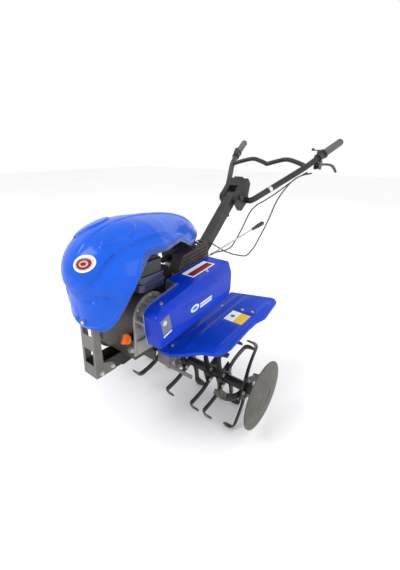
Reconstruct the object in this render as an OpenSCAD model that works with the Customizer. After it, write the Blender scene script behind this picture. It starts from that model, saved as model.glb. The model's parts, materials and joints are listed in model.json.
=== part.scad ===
// Walk-behind power tiller: petrol engine under a hood, belt drive to a
// gearbox, a transverse rotor with curved tines, and a T-shaped handlebar.
// X points to the machine's left, Y to the rear, Z up. The origin is on the
// ground under the middle of the machine.

/* [Rotor] */
// Distance of the rotor axis in front of the origin
rotor_ahead = 254.7; // [250:0.1:262]
// Radius that the tine tips reach
tine_reach = 180; // [165:1:190]
// Distance of each plant guard disc from the middle
disc_x = 421; // [410:1:460]
// Radius of the plant guard discs
disc_r = 138; // [110:1:145]
// Half width across the flats of the rotor tube
tube_half = 18; // [15:0.5:20]
// Thickness of the tine steel
tine_t = 7; // [5:0.5:9]

/* [Frame] */
// Underside of the engine frame above the ground
frame_z = 321; // [300:1:340]
// Height of the frame rails
rail_h = 50; // [40:1:52]
// Half width of the frame's front end and of the bumper
rail_half = 31; // [28:0.5:36]
// Distance of the bumper ahead of the rotor axis
bumper_ahead = 468; // [440:1:480]
// Thickness of the folded sheet
sheet_t = 3; // [2:0.5:4]

/* [Engine] */
// Distance of the crankshaft ahead of the rotor axis
crank_ahead = 275; // [265:1:285]
// Height of the crankshaft above the ground
crank_z = 520; // [512:1:530]
// Radius of the crankshaft
crank_r = 12.5; // [10:0.5:15]
// Radius of the engine pulley
engine_pulley_r = 40; // [34:1:46]
// Radius of the recoil starter cover
recoil_r = 88; // [75:1:92]

/* [Hood] */
// Half width of the hood
hood_w = 186; // [175:1:192]
// Height of the top of the hood
hood_z = 836; // [825:1:860]
// Wall of the hood
hood_t = 3.5; // [2.5:0.5:5]

/* [Drive] */
// Outer face of the belt guard from the middle
guard_x = 207; // [203:1:215]
// Radius of the gearbox pulley
gear_pulley_r = 60; // [50:1:64]
// Height of the gearbox input shaft above the ground
input_z = 566; // [560:1:570]
// Radius of the gearbox input shaft
input_r = 12; // [9:0.5:14]

/* [Handlebar] */
// Radius of the handlebar tube
bar_r = 14; // [11:0.5:16]
// Radius of the grips
grip_r = 18; // [17:0.5:21]
// Side of the square column tube
column_w = 50; // [44:1:54]
// Half width at the ends of the grips
grip_half = 269; // [250:1:290]

/* [Hidden] */
$fn = 48;

// Colours
black_paint = [0.10, 0.10, 0.11];
hood_blue = [0.12, 0.42, 0.92];
guard_blue = [0.03, 0.22, 0.85];
grey_paint = [0.43, 0.41, 0.39];
cast_alloy = [0.52, 0.52, 0.50];
olive_alloy = [0.34, 0.33, 0.28];
zinc = [0.80, 0.80, 0.78];
rubber = [0.16, 0.16, 0.16];
navy = [0.05, 0.07, 0.20];

// Clearances
gap = 0.3;            // between parts of different bodies
run = 0.05;           // radial running clearance of a shaft
tip_w = 30;           // width of a tine tip along its path
tip_l = 45;           // sideways length of a tine tip
tip_phase = 22.5;     // the lowest tine of each flange from straight down
tip_corner = atan((tip_w / 2) / tine_reach);
axle_z = norm([tine_reach, tip_w / 2]) * cos(tip_phase - tip_corner);
bed_z = frame_z + rail_h;
crank_y = -crank_ahead;
input_y = -18;
bumper_y = -bumper_ahead;

// Places a piece whose drawing has the rotor axis at y = 0
module place(c) color(c) translate([0, -rotor_ahead, 0]) children();

// A round bar along X
module x_rod(r, x0, x1) translate([x0, 0, 0]) rotate([0, 90, 0]) cylinder(r = r, h = x1 - x0);

// A round bar from point a to point b
module bar(a, b, r) {
    d = b - a;
    translate(a) rotate([0, acos(d.z / norm(d)), atan2(d.y, d.x)]) cylinder(r = r, h = norm(d));
}

// A tube run through the points, with round corners
module bar_run(points, r, swell = 0) {
    for (i = [1 : len(points) - 1]) bar(points[i - 1], points[i], r);
    for (i = [1 : len(points) - 2]) translate(points[i]) sphere(r = r + swell);
}

// A plate with its outline in the YZ plane, from x0 to x1
module yz_plate(points, x0, x1)
    translate([x0, 0, 0]) rotate([90, 0, 90]) linear_extrude(x1 - x0) polygon(points);

// A hexagon bolt head with its washer, lying on z = 0
module bolt_head(d) {
    cylinder(r = d * 1.05, h = 1.5);
    translate([0, 0, 1.5]) cylinder(r = d * 0.9, h = d * 0.65, $fn = 6);
}

module head_on_x(p, d, side) translate(p) rotate([0, 90 * side, 0]) bolt_head(d);

// ---- frame ----

rail_end_y = -84;
cross_y = [-268, -198];
mount_x = 81;

module engine_frame() place(black_paint) {
    for (s = [-1, 1]) mirror([s < 0 ? 1 : 0, 0, 0]) {
        translate([rail_half - 6, bumper_y + 4, frame_z]) cube([6 - gap, -bumper_y - 4 + rail_end_y, rail_h]);
        translate([rail_half - 6, cross_y[0], bed_z - 6]) cube([30, rail_end_y - cross_y[0], 6]);
    }
    for (y = cross_y) difference() {
        union() {
            translate([-114, y, frame_z + 6]) cube([228, 6, rail_h - 6]);
            translate([-114, y, bed_z - 6]) cube([228, 40, 6]);
        }
        for (x = [-mount_x, mount_x]) translate([x, y + 22, bed_z - 7]) cylinder(r = 4.5, h = 8);
    }
    translate([-rail_half + 1, bumper_y + 30, frame_z]) cube([2 * rail_half - 2, rail_end_y - bumper_y - 30, 4]);
    difference() {
        translate([-62, rail_end_y, frame_z]) cube([124, 8, 110]);
        for (x = [-48, 48], z = [frame_z + 18, frame_z + 92])
            translate([x, rail_end_y - 1, z]) rotate([-90, 0, 0]) cylinder(r = 4.5, h = 10);
    }
}

hood_bolt_z = 546;
hood_bolt_x = 20;
bumper_top = 534;
tab_reach = 9;
foot_bolts = [[-447, 336], [-400, 341]];

module front_bumper() place(grey_paint) {
    difference() {
        translate([-rail_half, bumper_y, frame_z])
            cube([2 * rail_half, sheet_t, bumper_top - frame_z]);
        for (z = [368, 480]) translate([-rail_half + 8, bumper_y - 1, z])
            cube([2 * rail_half - 16, sheet_t + 2, z == 480 ? 44 : 59]);
    }
    for (s = [-1, 1]) mirror([s < 0 ? 1 : 0, 0, 0]) difference() {
        yz_plate([[bumper_y, frame_z], [-384, frame_z], [-384, 332], [-398, 358], [-436, 372],
            [-444, 515], [-444, bumper_top], [bumper_y, bumper_top]], rail_half, rail_half + sheet_t);
        for (p = foot_bolts) translate([rail_half - 1, p.x, p.y]) x_rod(4.5, 0, sheet_t + 2);
    }
    // the top tab reaches forward to the hood's bolts
    translate([-rail_half, bumper_y - tab_reach, bumper_top - sheet_t])
        cube([2 * rail_half, tab_reach + sheet_t, sheet_t]);
    difference() {
        translate([-rail_half, bumper_y - tab_reach, bumper_top - sheet_t])
            cube([2 * rail_half, sheet_t, 27]);
        for (x = [-hood_bolt_x, hood_bolt_x])
            translate([x, bumper_y - 20, hood_bolt_z]) rotate([-90, 0, 0]) cylinder(r = 3.2, h = 20);
    }
}

// ---- hood ----

hood_mid_y = -262;
hood_front = 251;      // hood's reach ahead of its middle
hood_back = 387;       // and behind it
hood_belt_z = 670;     // height of its widest line
hood_low_z = 520;      // lower edge at the nose
hood_taper = 0.12;     // how far the nose draws in below the widest line
nose_power = 2.0;      // roundness of the plan at the nose
tail_power = 1.15;     // and at the tail
dome_power = 2.26;
hood_cols = 64;
hood_rows = 16;

function smooth(a, b, v) = let (t = min(1, max(0, (v - a) / (b - a)))) t * t * (3 - 2 * t);
function powered(v, p) = sign(v) * pow(abs(v), p);
// Height of the hood's edge at the distance y behind the rotor axis
function hood_edge(y) = hood_low_z + 234 * smooth(-490, -330, y) - 50 * smooth(-160, -20, y);
// Share of the full plan that the hood has at height z
function hood_share(z, top) = z > hood_belt_z
    ? pow(max(0, 1 - pow((z - hood_belt_z) / (top - hood_belt_z), dome_power)), 1 / dome_power)
    : 1 - hood_taper * (hood_belt_z - z) / (hood_belt_z - hood_low_z);
function hood_point(a, f, inset) = let (
    top = hood_z - inset,
    reach = (sin(a) < 0 ? hood_front : hood_back) - inset,
    power = sin(a) < 0 ? nose_power : tail_power,
    edge = hood_edge(hood_mid_y + reach * powered(sin(a), 2 / power)),
    z = edge + (top - edge) * (1 - pow(f, 2.2)),
    share = hood_share(z, top))
    [(hood_w - inset) * share * powered(cos(a), 2 / power),
     hood_mid_y + reach * share * powered(sin(a), 2 / power), z];

// Number of the point in row j and column i of a dome
function at(j, i) = j * hood_cols + i % hood_cols;

// A closed shell between two domes that share one lower edge height
module hood() place(hood_blue) difference() {
    hood_shell();
    for (x = [-hood_bolt_x, hood_bolt_x]) translate([x, bumper_y - 40, hood_bolt_z])
        rotate([-90, 0, 0]) cylinder(r = 3.5, h = 30);
}

module hood_shell() {
    n = hood_cols;
    m = hood_rows;
    outer = [for (j = [1 : m], i = [0 : n - 1]) hood_point(360 * i / n, j / m, 0)];
    inner = [for (j = [1 : m], i = [0 : n - 1]) hood_point(360 * i / n, j / m, hood_t)];
    tops = [[0, hood_mid_y, hood_z], [0, hood_mid_y, hood_z - hood_t]];
    q = n * m;
    polyhedron(concat(outer, inner, tops), concat(
        [for (i = [0 : n - 1]) [2 * q, at(0, i + 1), at(0, i)]],
        [for (i = [0 : n - 1]) [2 * q + 1, q + at(0, i), q + at(0, i + 1)]],
        [for (j = [0 : m - 2], i = [0 : n - 1]) [at(j, i), at(j, i + 1), at(j + 1, i)]],
        [for (j = [0 : m - 2], i = [0 : n - 1]) [at(j, i + 1), at(j + 1, i + 1), at(j + 1, i)]],
        [for (j = [0 : m - 2], i = [0 : n - 1]) [q + at(j, i), q + at(j + 1, i), q + at(j, i + 1)]],
        [for (j = [0 : m - 2], i = [0 : n - 1])
            [q + at(j, i + 1), q + at(j + 1, i), q + at(j + 1, i + 1)]],
        [for (i = [0 : n - 1]) [at(m - 1, i), at(m - 1, i + 1), q + at(m - 1, i)]],
        [for (i = [0 : n - 1]) [at(m - 1, i + 1), q + at(m - 1, i + 1), q + at(m - 1, i)]]));
}

// ---- engine ----

case_x = [-70, 95];      // crankcase between its two ends
case_wall = 6;
case_r = 78;
bore_lean = -65;         // the cylinder leans to the rear, 25 degrees above level
cover_t = 22;
post_r = 66;
post_turns = [0, 60, 120, 180];
blower_r = 92;
blower_x = [-150, -72];

module at_crank() translate([0, crank_y, crank_z]) children();
module on_bore() at_crank() rotate([bore_lean, 0, 0]) children();

// The oil filler neck leans forward and up from the front corner of the case
module at_filler() translate([78, crank_y - 44, bed_z + 58]) rotate([65, 0, 0]) children();

module case_body(inset, x0, x1) {
    at_crank() x_rod(case_r - inset, x0, x1);
    translate([x0, crank_y - case_r + inset, bed_z + inset])
        cube([x1 - x0, 2 * (case_r - inset), crank_z - bed_z - inset]);
}

module crankcase() place(olive_alloy) difference() {
    union() {
        case_body(0, case_x[0], case_x[1]);
        translate([-102, crank_y - case_r, bed_z]) cube([204, 195, 12]);
        for (x = [-45, 35]) translate([x, crank_y - 10, crank_z + case_r - 3])
            cube([10, 20, tank_box[0].z - crank_z - case_r + 3 - run]);
        // filler neck and drain boss at the front corner
        at_filler() cylinder(r = 17, h = 50);
    }
    case_body(case_wall, case_x[0] + case_wall, case_x[1] + 1);
    at_crank() x_rod(crank_r + run, case_x[0] - 1, 0);
    on_bore() cylinder(r = 36, h = 100);
    at_filler() cylinder(r = 11, h = 60);
    for (y = cross_y, x = [-mount_x, mount_x])
        translate([x, y + 22, bed_z - 1]) cylinder(r = 4.5, h = 14);
}

module crankcase_cover() place(cast_alloy) difference() {
    union() {
        at_crank() x_rod(case_r, case_x[1], case_x[1] + 8);
        translate([case_x[1], crank_y - case_r, bed_z + 13]) cube([8, 2 * case_r, crank_z - bed_z - 13]);
        at_crank() x_rod(54, case_x[1] + 8, case_x[1] + cover_t);
        translate([case_x[1] + 8, crank_y - 70, bed_z + 24]) cube([10, 66, 50]);
        // posts that carry the guard's back plate
        for (a = post_turns) translate([0, crank_y + post_r * cos(a), crank_z + post_r * sin(a)])
            x_rod(7, case_x[1] + 7, plate_front_x - run);
    }
    at_crank() x_rod(crank_r + run, case_x[1] - 1, case_x[1] + cover_t + 1);
}

module cylinder_block() place(olive_alloy) on_bore() difference() {
    union() {
        translate([0, 0, case_r]) cylinder(r = 47, h = 72);
        for (i = [0 : 6]) translate([-60, -55, case_r + 8 + 9 * i]) cube([120, 110, 3.5]);
    }
    translate([0, 0, case_r - 1]) cylinder(r = 35, h = 80);
}

head_low = case_r + 72;

module cylinder_head() place(olive_alloy) on_bore() difference() {
    union() {
        translate([-50, -48, head_low]) cube([100, 96, 32]);
        for (i = [0 : 2]) translate([-60, -52, head_low + 5 + 10 * i]) cube([120, 104, 3.5]);
    }
    translate([40, 0, head_low + 16]) rotate([0, 90, 0]) cylinder(r = 7, h = 30);
}

module valve_cover() place(black_paint) on_bore() difference() {
    translate([-40, -32, head_low + 32]) cube([80, 64, 18]);
    translate([-37, -29, head_low + 31]) cube([74, 58, 16]);
}

module spark_plug() place(rubber) on_bore() translate([40, 0, head_low + 16]) rotate([0, 90, 0]) {
    cylinder(r = 6.9, h = 26);
    translate([0, 0, 26]) cylinder(r = 11, h = 24);
}

module blower_housing() place(black_paint) difference() {
    union() {
        at_crank() x_rod(blower_r, blower_x[0], blower_x[1]);
        // duct that turns the air to the fins
        translate([blower_x[0] + 20, crank_y + 40, crank_z - 10]) cube([58, 78, 100]);
    }
    at_crank() x_rod(blower_r - 2.5, blower_x[0] - 1, blower_x[1] - 3);
    translate([blower_x[0] + 22.5, crank_y + 30, crank_z - 7.5]) cube([53, 85.5, 95]);
    at_crank() x_rod(30, blower_x[1] - 4, blower_x[1] + 1);
}

recoil_depth = 38;
rope_z = 58;             // height of the starter rope above the crankshaft

module recoil_cover() place(black_paint) difference() {
    union() {
        at_crank() x_rod(recoil_r + 4, blower_x[0] - 3, blower_x[0]);
        at_crank() x_rod(recoil_r, blower_x[0] - recoil_depth, blower_x[0] - 3);
        translate([blower_x[0] - 20, crank_y - 60, crank_z + rope_z]) rotate([90, 0, 0])
            cylinder(r = 11, h = 18);
    }
    at_crank() x_rod(recoil_r - 3, blower_x[0] - recoil_depth + 3, blower_x[0] + 1);
    translate([blower_x[0] - 20, crank_y - 40, crank_z + rope_z]) rotate([90, 0, 0])
        cylinder(r = 5, h = 60);
    // cooling slots round the face
    at_crank() for (a = [0 : 30 : 330]) rotate([a, 0, 0])
        translate([blower_x[0] - recoil_depth - 1, 34, -4]) cube([6, 36, 8]);
}

tank_box = [[-120, -335, 616], [118, -215, 668]];

module rounded_slab(low, high, r) {
    size = high - low;
    translate([low.x + r, low.y, low.z]) cube([size.x - 2 * r, size.y, size.z]);
    translate([low.x, low.y + r, low.z]) cube([size.x, size.y - 2 * r, size.z]);
    for (x = [low.x + r, high.x - r], y = [low.y + r, high.y - r])
        translate([x, y, low.z]) cylinder(r = r, h = size.z);
}

cap_at = [-50, -275];

module fuel_tank() place(navy) difference() {
    union() {
        rounded_slab(tank_box[0], tank_box[1], 22);
        rounded_slab(tank_box[0] + [-5, -5, 24], [tank_box[1].x + 5, tank_box[1].y + 5, 644], 26);
        translate([cap_at.x, cap_at.y, 668]) cylinder(r = 22, h = 12);
    }
    rounded_slab(tank_box[0] + [3, 3, 3], tank_box[1] - [3, 3, 3], 20);
    translate([cap_at.x, cap_at.y, 660]) cylinder(r = 18, h = 30);
}

module fuel_cap() place(black_paint) translate([cap_at.x, cap_at.y, 680 + gap]) difference() {
    union() {
        cylinder(r = 29, h = 16);
        for (a = [11 : 45 : 326]) rotate(a) translate([27.5, 0, 1]) cylinder(r = 3.5, h = 13);
    }
    translate([0, 0, -1]) cylinder(r = 24, h = 5);
}

module oil_cap() place([0.95, 0.42, 0.08]) at_filler() {
    translate([0, 0, 26]) cylinder(r = 11 - gap, h = 25);
    translate([0, 0, 50 + gap]) cylinder(r = 18, h = 6);
    translate([-4, -17, 56]) cube([8, 34, 16]);
}

carb = [-82, -138, 585];

module carburettor() place(cast_alloy) translate(carb) {
    difference() {
        union() {
            translate([-18, -18, -14]) cube([36, 36, 34]);
            translate([0, 0, -34]) cylinder(r = 17, h = 20);
            translate([0, 18, 6]) rotate([-90, 0, 0]) cylinder(r = 16, h = 10);
        }
        translate([0, -19, 6]) rotate([-90, 0, 0]) cylinder(r = 10, h = 60);
    }
    translate([-22.5, 0, 12]) x_rod(3, 0, 4.5);
}

module choke_lever() place(rubber) translate(carb + [-30 - gap, 0, 12]) {
    x_rod(7, 0, 7.5);
    translate([0, -3, 0]) cube([4, 6, 34]);
    translate([-3, -5, 28]) cube([8, 10, 12]);
}

module air_cleaner() place(black_paint) {
    difference() {
        rounded_slab([4, -330, 668 + gap], [112, -226, 712], 14);
        rounded_slab([7, -327, 671], [109, -229, 709], 12);
    }
    for (i = [0 : 7]) translate([12 + 12 * i, -322, 712]) cube([5, 88, 10]);
}

muffler_z = 657;

module muffler() place([0.25, 0.24, 0.23]) {
    difference() {
        translate([-4, -62, muffler_z]) rotate([-90, 0, 0]) cylinder(r = 34, h = 140);
        translate([-4, -59, muffler_z]) rotate([-90, 0, 0]) cylinder(r = 31, h = 134);
        translate([-4, 70, muffler_z]) rotate([-90, 0, 0]) cylinder(r = 9, h = 10);
    }
    translate([-4, 78, muffler_z]) rotate([-90, 0, 0]) difference() {
        cylinder(r = 11, h = 14);
        translate([0, 0, -1]) cylinder(r = 9, h = 16);
    }
    bar([-4, -62, muffler_z - 12], [-4, -96, 640], 12);
}

guard_skew = [[-114, 612], [-84, 676], [76, 698], [88, 634]];

module muffler_guard() place([0.30, 0.27, 0.24]) difference() {
    union() {
        yz_plate(guard_skew, 42, 86);
        for (i = [0 : 3]) yz_plate([[-92 + 2 * i, 624 + 16 * i], [-90 + 2 * i, 630 + 16 * i],
            [78 - 3 * i, 652 + 13 * i], [78 - 3 * i, 646 + 13 * i]], 86, 90);
    }
    yz_plate([[-110, 615], [-82, 673], [74, 695], [85, 637]], 41, 83.5);
    for (i = [0 : 4]) translate([45, -60 + 28 * i, 0]) cube([34, 12, 900]);
}

module crankshaft() place(zinc) at_crank() {
    x_rod(crank_r, blower_x[0] + 4, 195);
    // webs and crank pin inside the case
    for (x = [-32, 22]) translate([x, -20, -34]) cube([14, 40, 68]);
    translate([-18, 0, 26]) x_rod(13, 0, 40);
}

module flywheel() place(cast_alloy) at_crank() difference() {
    union() {
        x_rod(82, -110, -84);
        for (a = [0 : 30 : 330]) rotate([a, 0, 0]) translate([-136, 46, -2]) cube([26, 34, 4]);
    }
    x_rod(crank_r, -140, -80);
}

module recoil_grip() place(rubber) translate([blower_x[0] - 20, crank_y - 78 - gap, crank_z + rope_z]) {
    translate([0, -26, 0]) rotate([-90, 0, 0]) cylinder(r1 = 12, r2 = 8, h = 26);
    translate([0, -34, -42]) cylinder(r = 10, h = 84);
    rotate([-90, 0, 0]) cylinder(r = 2.5, h = 40);
}

// ---- belt drive ----

belt_x = [158, 174];
belt_w = 12;
belt_h = 9;

// Outline round both pulleys, in the YZ plane
module belt_outline(inset) {
    r1 = engine_pulley_r - inset;
    r2 = gear_pulley_r - inset;
    d = [input_y - crank_y, input_z - crank_z];
    turn = atan2(d.y, d.x);
    side = acos((r1 - r2) / norm(d));
    translate([crank_y, crank_z]) circle(r = r1, $fn = 96);
    translate([input_y, input_z]) circle(r = r2, $fn = 96);
    polygon([for (s = [side, -side], e = s > 0 ? [0, 1] : [1, 0])
        [crank_y, crank_z] + e * d + (e == 0 ? r1 : r2) * [cos(turn + s), sin(turn + s)]]);
}

module drive_belts() place(rubber) for (x = belt_x)
    translate([x, 0, 0]) rotate([90, 0, 90]) linear_extrude(belt_w) difference() {
        belt_outline(0);
        belt_outline(belt_h);
    }

// A two-groove pulley whose belts run at the radius r
module pulley(r, bore) difference() {
    union() {
        x_rod(r - belt_h - gap, belt_x[0] - 4, belt_x[1] + belt_w + 4);
        for (x = [belt_x[0] - gap - 3.5, belt_x[0] + belt_w + gap, belt_x[1] + belt_w + gap])
            x_rod(r + 3, x, x + 3.4);
    }
    x_rod(bore, belt_x[0] - 5, belt_x[1] + belt_w + 5);
    x_rod(r - belt_h - 12, belt_x[1] + belt_w - 4, belt_x[1] + belt_w + 5);
}

module engine_pulley() place(cast_alloy) at_crank() pulley(engine_pulley_r, crank_r);
module input_pulley() place(cast_alloy) translate([0, input_y, input_z]) pulley(gear_pulley_r, input_r);

gearbox_w = 38;

module input_shaft() place(zinc) translate([0, input_y, input_z]) {
    x_rod(input_r, -28, 194);
    x_rod(24, -20, 10);
}

idler_pivot = [-110, 515];
idler_at = [-150, 558];
idler_r = 18;
plate_front_x = 147;     // guard back plate beside the engine
plate_rear_x = 97;       // and beside the gearbox
plate_t = 3;

module idler_arm() place(grey_paint) {
    difference() {
        union() {
            translate([0, idler_pivot.x, idler_pivot.y]) x_rod(14, 138, 146);
            flat_link(idler_pivot, idler_at, 9.5, 139, 145);
            translate([0, idler_at.x, idler_at.y]) x_rod(11, 138, 146);
        }
        translate([0, idler_pivot.x, idler_pivot.y]) x_rod(6 + run, 137, 147);
    }
    translate([0, idler_at.x, idler_at.y]) x_rod(6, 142, 193);
}

// A flat link between two points of the YZ plane
module flat_link(a, b, half, x0, x1) {
    d = unit(b - a);
    n = half * [-d.y, d.x];
    yz_plate([a + n, a - n, b - n, b + n], x0, x1);
}

module idler_roller() place(zinc) translate([0, idler_at.x, idler_at.y]) difference() {
    union() {
        x_rod(idler_r, 154.5, 189.5);
        for (x = [154.5, 186.5]) x_rod(idler_r + 2, x, x + 3);
    }
    x_rod(6 + run, 150, 195);
}

guard_outline = [[-340, 452], [-352, 500], [-358, 560], [-350, 578], [-325, 590], [-180, 618],
    [58, 643], [66, 636], [70, 607], [74, 533], [68, 510], [52, 501], [-16, 487]];
guard_face = [[-338, 455], [-350, 500], [-355, 560], [-346, 571], [-320, 577], [-180, 591],
    [56, 611], [64, 604], [67, 590], [71, 533], [66, 513], [51, 504], [-16, 490]];
guard_step_y = -190;
guard_wall = 2.5;
plate_lip = 5;

module guard_solid(inset) {
    hull() {
        translate([plate_front_x + plate_t - (inset > 0 ? 1 : 0), 0, 0]) rotate([90, 0, 90])
            linear_extrude(1) offset(delta = -inset) polygon(guard_outline);
        translate([guard_x - 15 - inset, 0, 0]) rotate([90, 0, 90])
            linear_extrude(1) offset(delta = -inset) polygon(guard_outline);
        translate([guard_x - 1 - inset, 0, 0]) rotate([90, 0, 90])
            linear_extrude(1) offset(delta = -inset) polygon(guard_face);
    }
    intersection() {
        translate([plate_rear_x + plate_t - (inset > 0 ? 1 : 0), 0, 0]) rotate([90, 0, 90])
            linear_extrude(plate_front_x - plate_rear_x + 3) offset(delta = -inset) polygon(guard_outline);
        translate([0, guard_step_y + inset, 0]) cube([400, 400, 900]);
    }
}

module belt_guard() place(guard_blue) difference() {
    guard_solid(0);
    guard_solid(guard_wall);
}

module guard_backplate() place(zinc) difference() {
    union() {
        intersection() {
            union() {
                yz_plate(guard_outline, plate_front_x, plate_front_x + plate_t - run);
                translate([0, 0, plate_lip]) yz_plate(guard_outline, plate_front_x, plate_front_x + plate_t - run);
            }
            translate([0, guard_step_y - 400, 0]) cube([400, 400, 900]);
        }
        intersection() {
            yz_plate(guard_outline, plate_rear_x, plate_rear_x + plate_t - run);
            translate([0, guard_step_y, 0]) cube([400, 400, 900]);
        }
        // step between the two plates
        intersection() {
            yz_plate(guard_outline, plate_rear_x, plate_front_x + plate_t - run);
            translate([0, guard_step_y - plate_t, 0]) cube([400, plate_t - run, 900]);
        }
        translate([0, idler_pivot.x, idler_pivot.y]) x_rod(16, plate_rear_x + plate_t - 1, 137.5);
        translate([0, idler_pivot.x, idler_pivot.y]) x_rod(6, 137, 149);
    }
    at_crank() x_rod(engine_pulley_r + 8, plate_front_x - 1, plate_front_x + 5);
    translate([0, input_y, input_z]) x_rod(20, plate_rear_x - 1, plate_rear_x + 5);
}

// ---- gearbox ----

gearbox_body = [[-64, input_z], [-66, 440], [-76, 436], [-76, frame_z], [-56, 250], [-58, axle_z],
    [58, axle_z], [56, 250], [46, 330], [46, 440], [30, input_z]];
output_r = 20;
boss_w = 52;

module gearbox_shape(x0, x1, inset) {
    translate([0, input_y, input_z]) x_rod(47 - inset, x0, x1);
    translate([0, 0, axle_z]) x_rod(58 - inset, x0, x1);
    translate([x0, 0, 0]) rotate([90, 0, 90]) linear_extrude(x1 - x0) offset(delta = -inset)
        polygon(gearbox_body);
}

module gearbox_half() difference() {
    union() {
        gearbox_shape(run, gearbox_w, 0);
        translate([0, 0, axle_z]) x_rod(34, gearbox_w, boss_w);
        translate([0, input_y, input_z]) x_rod(26, gearbox_w, boss_w);
    }
    gearbox_shape(-1, gearbox_w - 7, 7);
    translate([0, 0, axle_z]) x_rod(output_r + run, -1, boss_w + 1);
}

module gearbox_left() place(cast_alloy) difference() {
    union() {
        gearbox_half();
        bar(rod_at(-92), rod_at(-57), 9);
    }
    translate([0, input_y, input_z]) x_rod(input_r + run, 0, boss_w + 1);
    bar(rod_at(-115), rod_at(-50), rod_r + gap);
}

module gearbox_right() place(cast_alloy) mirror([1, 0, 0]) difference() {
    gearbox_half();
    translate([0, input_y, input_z]) x_rod(input_r + run, 0, 34);
}

hitch_y = 46.1;
hitch_z = 372;
hitch_pin_r = 8.5;

module hitch_bracket() place(black_paint) difference() {
    union() {
        translate([-38, hitch_y, hitch_z - 42]) cube([76, 8, 84]);
        for (x = [-34, 26]) translate([x, hitch_y + 8, hitch_z - 36]) cube([8, 62, 72]);
    }
    translate([0, hitch_y + 46, hitch_z]) x_rod(hitch_pin_r, -40, 40);
}

// ---- fenders ----

fender_lean = 5.4;       // the fender rises to the rear
fender_z = 402;          // its height over the rotor axis
fender_lip = 12;
fender_plan = [[115, -262], [145, -262], [176, -256], [208, -232], [256, -182], [300, -162],
    [316, -132], [322, -97], [316, 41], [318, 102], [330, 150], [329, 172], [316, 288],
    [300, 308], [288, 309], [115, 254]];

module fender_sheet() translate([0, 0, fender_z]) rotate([fender_lean, 0, 0]) {
    difference() {
        union() {
            translate([0, 0, -sheet_t]) linear_extrude(sheet_t) polygon(fender_plan);
            translate([0, 0, -fender_lip]) linear_extrude(fender_lip) difference() {
                polygon(fender_plan);
                offset(delta = -sheet_t) polygon(fender_plan);
                translate([111, -258.5]) square([8, 500]);
            }
        }
        for (p = fender_bolt_plan) translate([p.x, p.y, -10]) cylinder(r = 3.3, h = 20);
    }
}

fender_bolt_plan = [[233, 142], [274, 150], [150, -215], [150, 120]];

module fender_left() place(guard_blue) fender_sheet();
module fender_right() place(guard_blue) mirror([1, 0, 0]) fender_sheet();

module fender_brackets() place(grey_paint) for (s = [0, 1]) mirror([s, 0, 0]) {
    // front box from the cross member out under the fender
    difference() {
        translate([114.1, -252, 326]) cube([52, 46, 46]);
        translate([117, -249, 323]) cube([46, 40, 46]);
    }
    translate([0, 0, fender_z]) rotate([fender_lean, 0, 0])
        translate([116, -240, -9]) cube([48, 34, 5.9]);
    translate([114.1, -252, frame_z - 4]) cube([152, 5, 14]);
    // rear arm from the gearbox to the fender
    translate([gearbox_w + 0.1, 30, 388]) cube([240, 28, 11]);
    translate([gearbox_w + 0.1, 30, 350]) cube([5, 28, 38]);
    translate([0, 0, fender_z]) rotate([fender_lean, 0, 0]) translate([216, 42, -9]) cube([72, 126, 5.9]);
}

// ---- column ----

column_low = [0, 112, 577];
column_high = [0, 385, 832];
column_dir = column_high - column_low;
column_lean = atan2(column_dir.z, column_dir.y);
pivot_r = 8;
pivot_half = 45;

// Local axes: Y runs up along the column, Z is square to it
module on_column(p) translate(p) rotate([column_lean, 0, 0]) children();

module handle_column() place(black_paint) {
    difference() {
        union() {
            on_column(column_low) translate([-column_w / 2 + 4, 0, -column_w / 2 + 4])
                cube([column_w - 8, norm(column_dir), column_w - 8]);
            translate([0, column_high.y, column_high.z]) x_rod(column_w / 2 - 2, -20.5, 20.5);
        }
        on_column(column_low) translate([-column_w / 2 + 7, -1, -column_w / 2 + 7])
            cube([column_w - 14, norm(column_dir) - 30, column_w - 14]);
        translate(column_high) x_rod(pivot_r + run, -60, 60);
    }
    for (x = [-26, 21.1]) yz_plate([[46.1, 470], [46.1, 548], [70, 606], [132, 632], [150, 596],
        [96, 520]], x, x + 4.9);
    translate([-26, 46.1, 470]) cube([52, 6, 78]);
    // bracket that holds the rear edge of the hood
    translate([-9, 95, 640]) cube([18, 4, 72]);
    translate([-9, 95, 640]) cube([18, 58, 4]);
}

// ---- shift rod ----

rod_low = [37, 100, 596];
rod_high = [66, 500, 668];
rod_r = 4;
// Point on the rod's line, s past its low mark
function rod_at(s) = rod_low + s * unit(rod_high - rod_low);

module shift_rod() place(zinc) bar(rod_at(-82), rod_high, rod_r);

module shift_knob() place(rubber) {
    d = unit(rod_high - rod_low);
    bar(rod_high + 0.1 * d, rod_high + 96 * d, 11);
    translate(rod_high + 93 * d) sphere(r = 12.5);
}

// ---- handlebar ----

bar_root = [pivot_half + 1, 452, 812];
bar_bend = [68, 452, 812];
bar_mid = [202, 721, 956];
bar_top = [235, 828, 1011];
grip_end = [grip_half, 968, 1070];

function unit(v) = v / norm(v);
function mirrored(p) = [-p.x, p.y, p.z];

bar_end = grip_end - 8 * unit(grip_end - bar_top);

module both_sides() for (s = [0, 1]) mirror([s, 0, 0]) children();

module handle_head() place(black_paint) difference() {
    union() {
        both_sides() on_column(column_high) yz_plate([[-26, -64], [-30, 12], [-14, 27], [88, 27],
            [100, 14], [100, -20], [60, -50], [40, -72]], 21, pivot_half);
        on_column(column_high) translate([-22, 46, -22]) cube([44, 52, 48]);
    }
    translate(column_high) x_rod(pivot_r + run, -60, 60);
}

module left_bar() bar_run([bar_root, bar_bend, bar_mid, bar_top, bar_end], bar_r);

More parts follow.
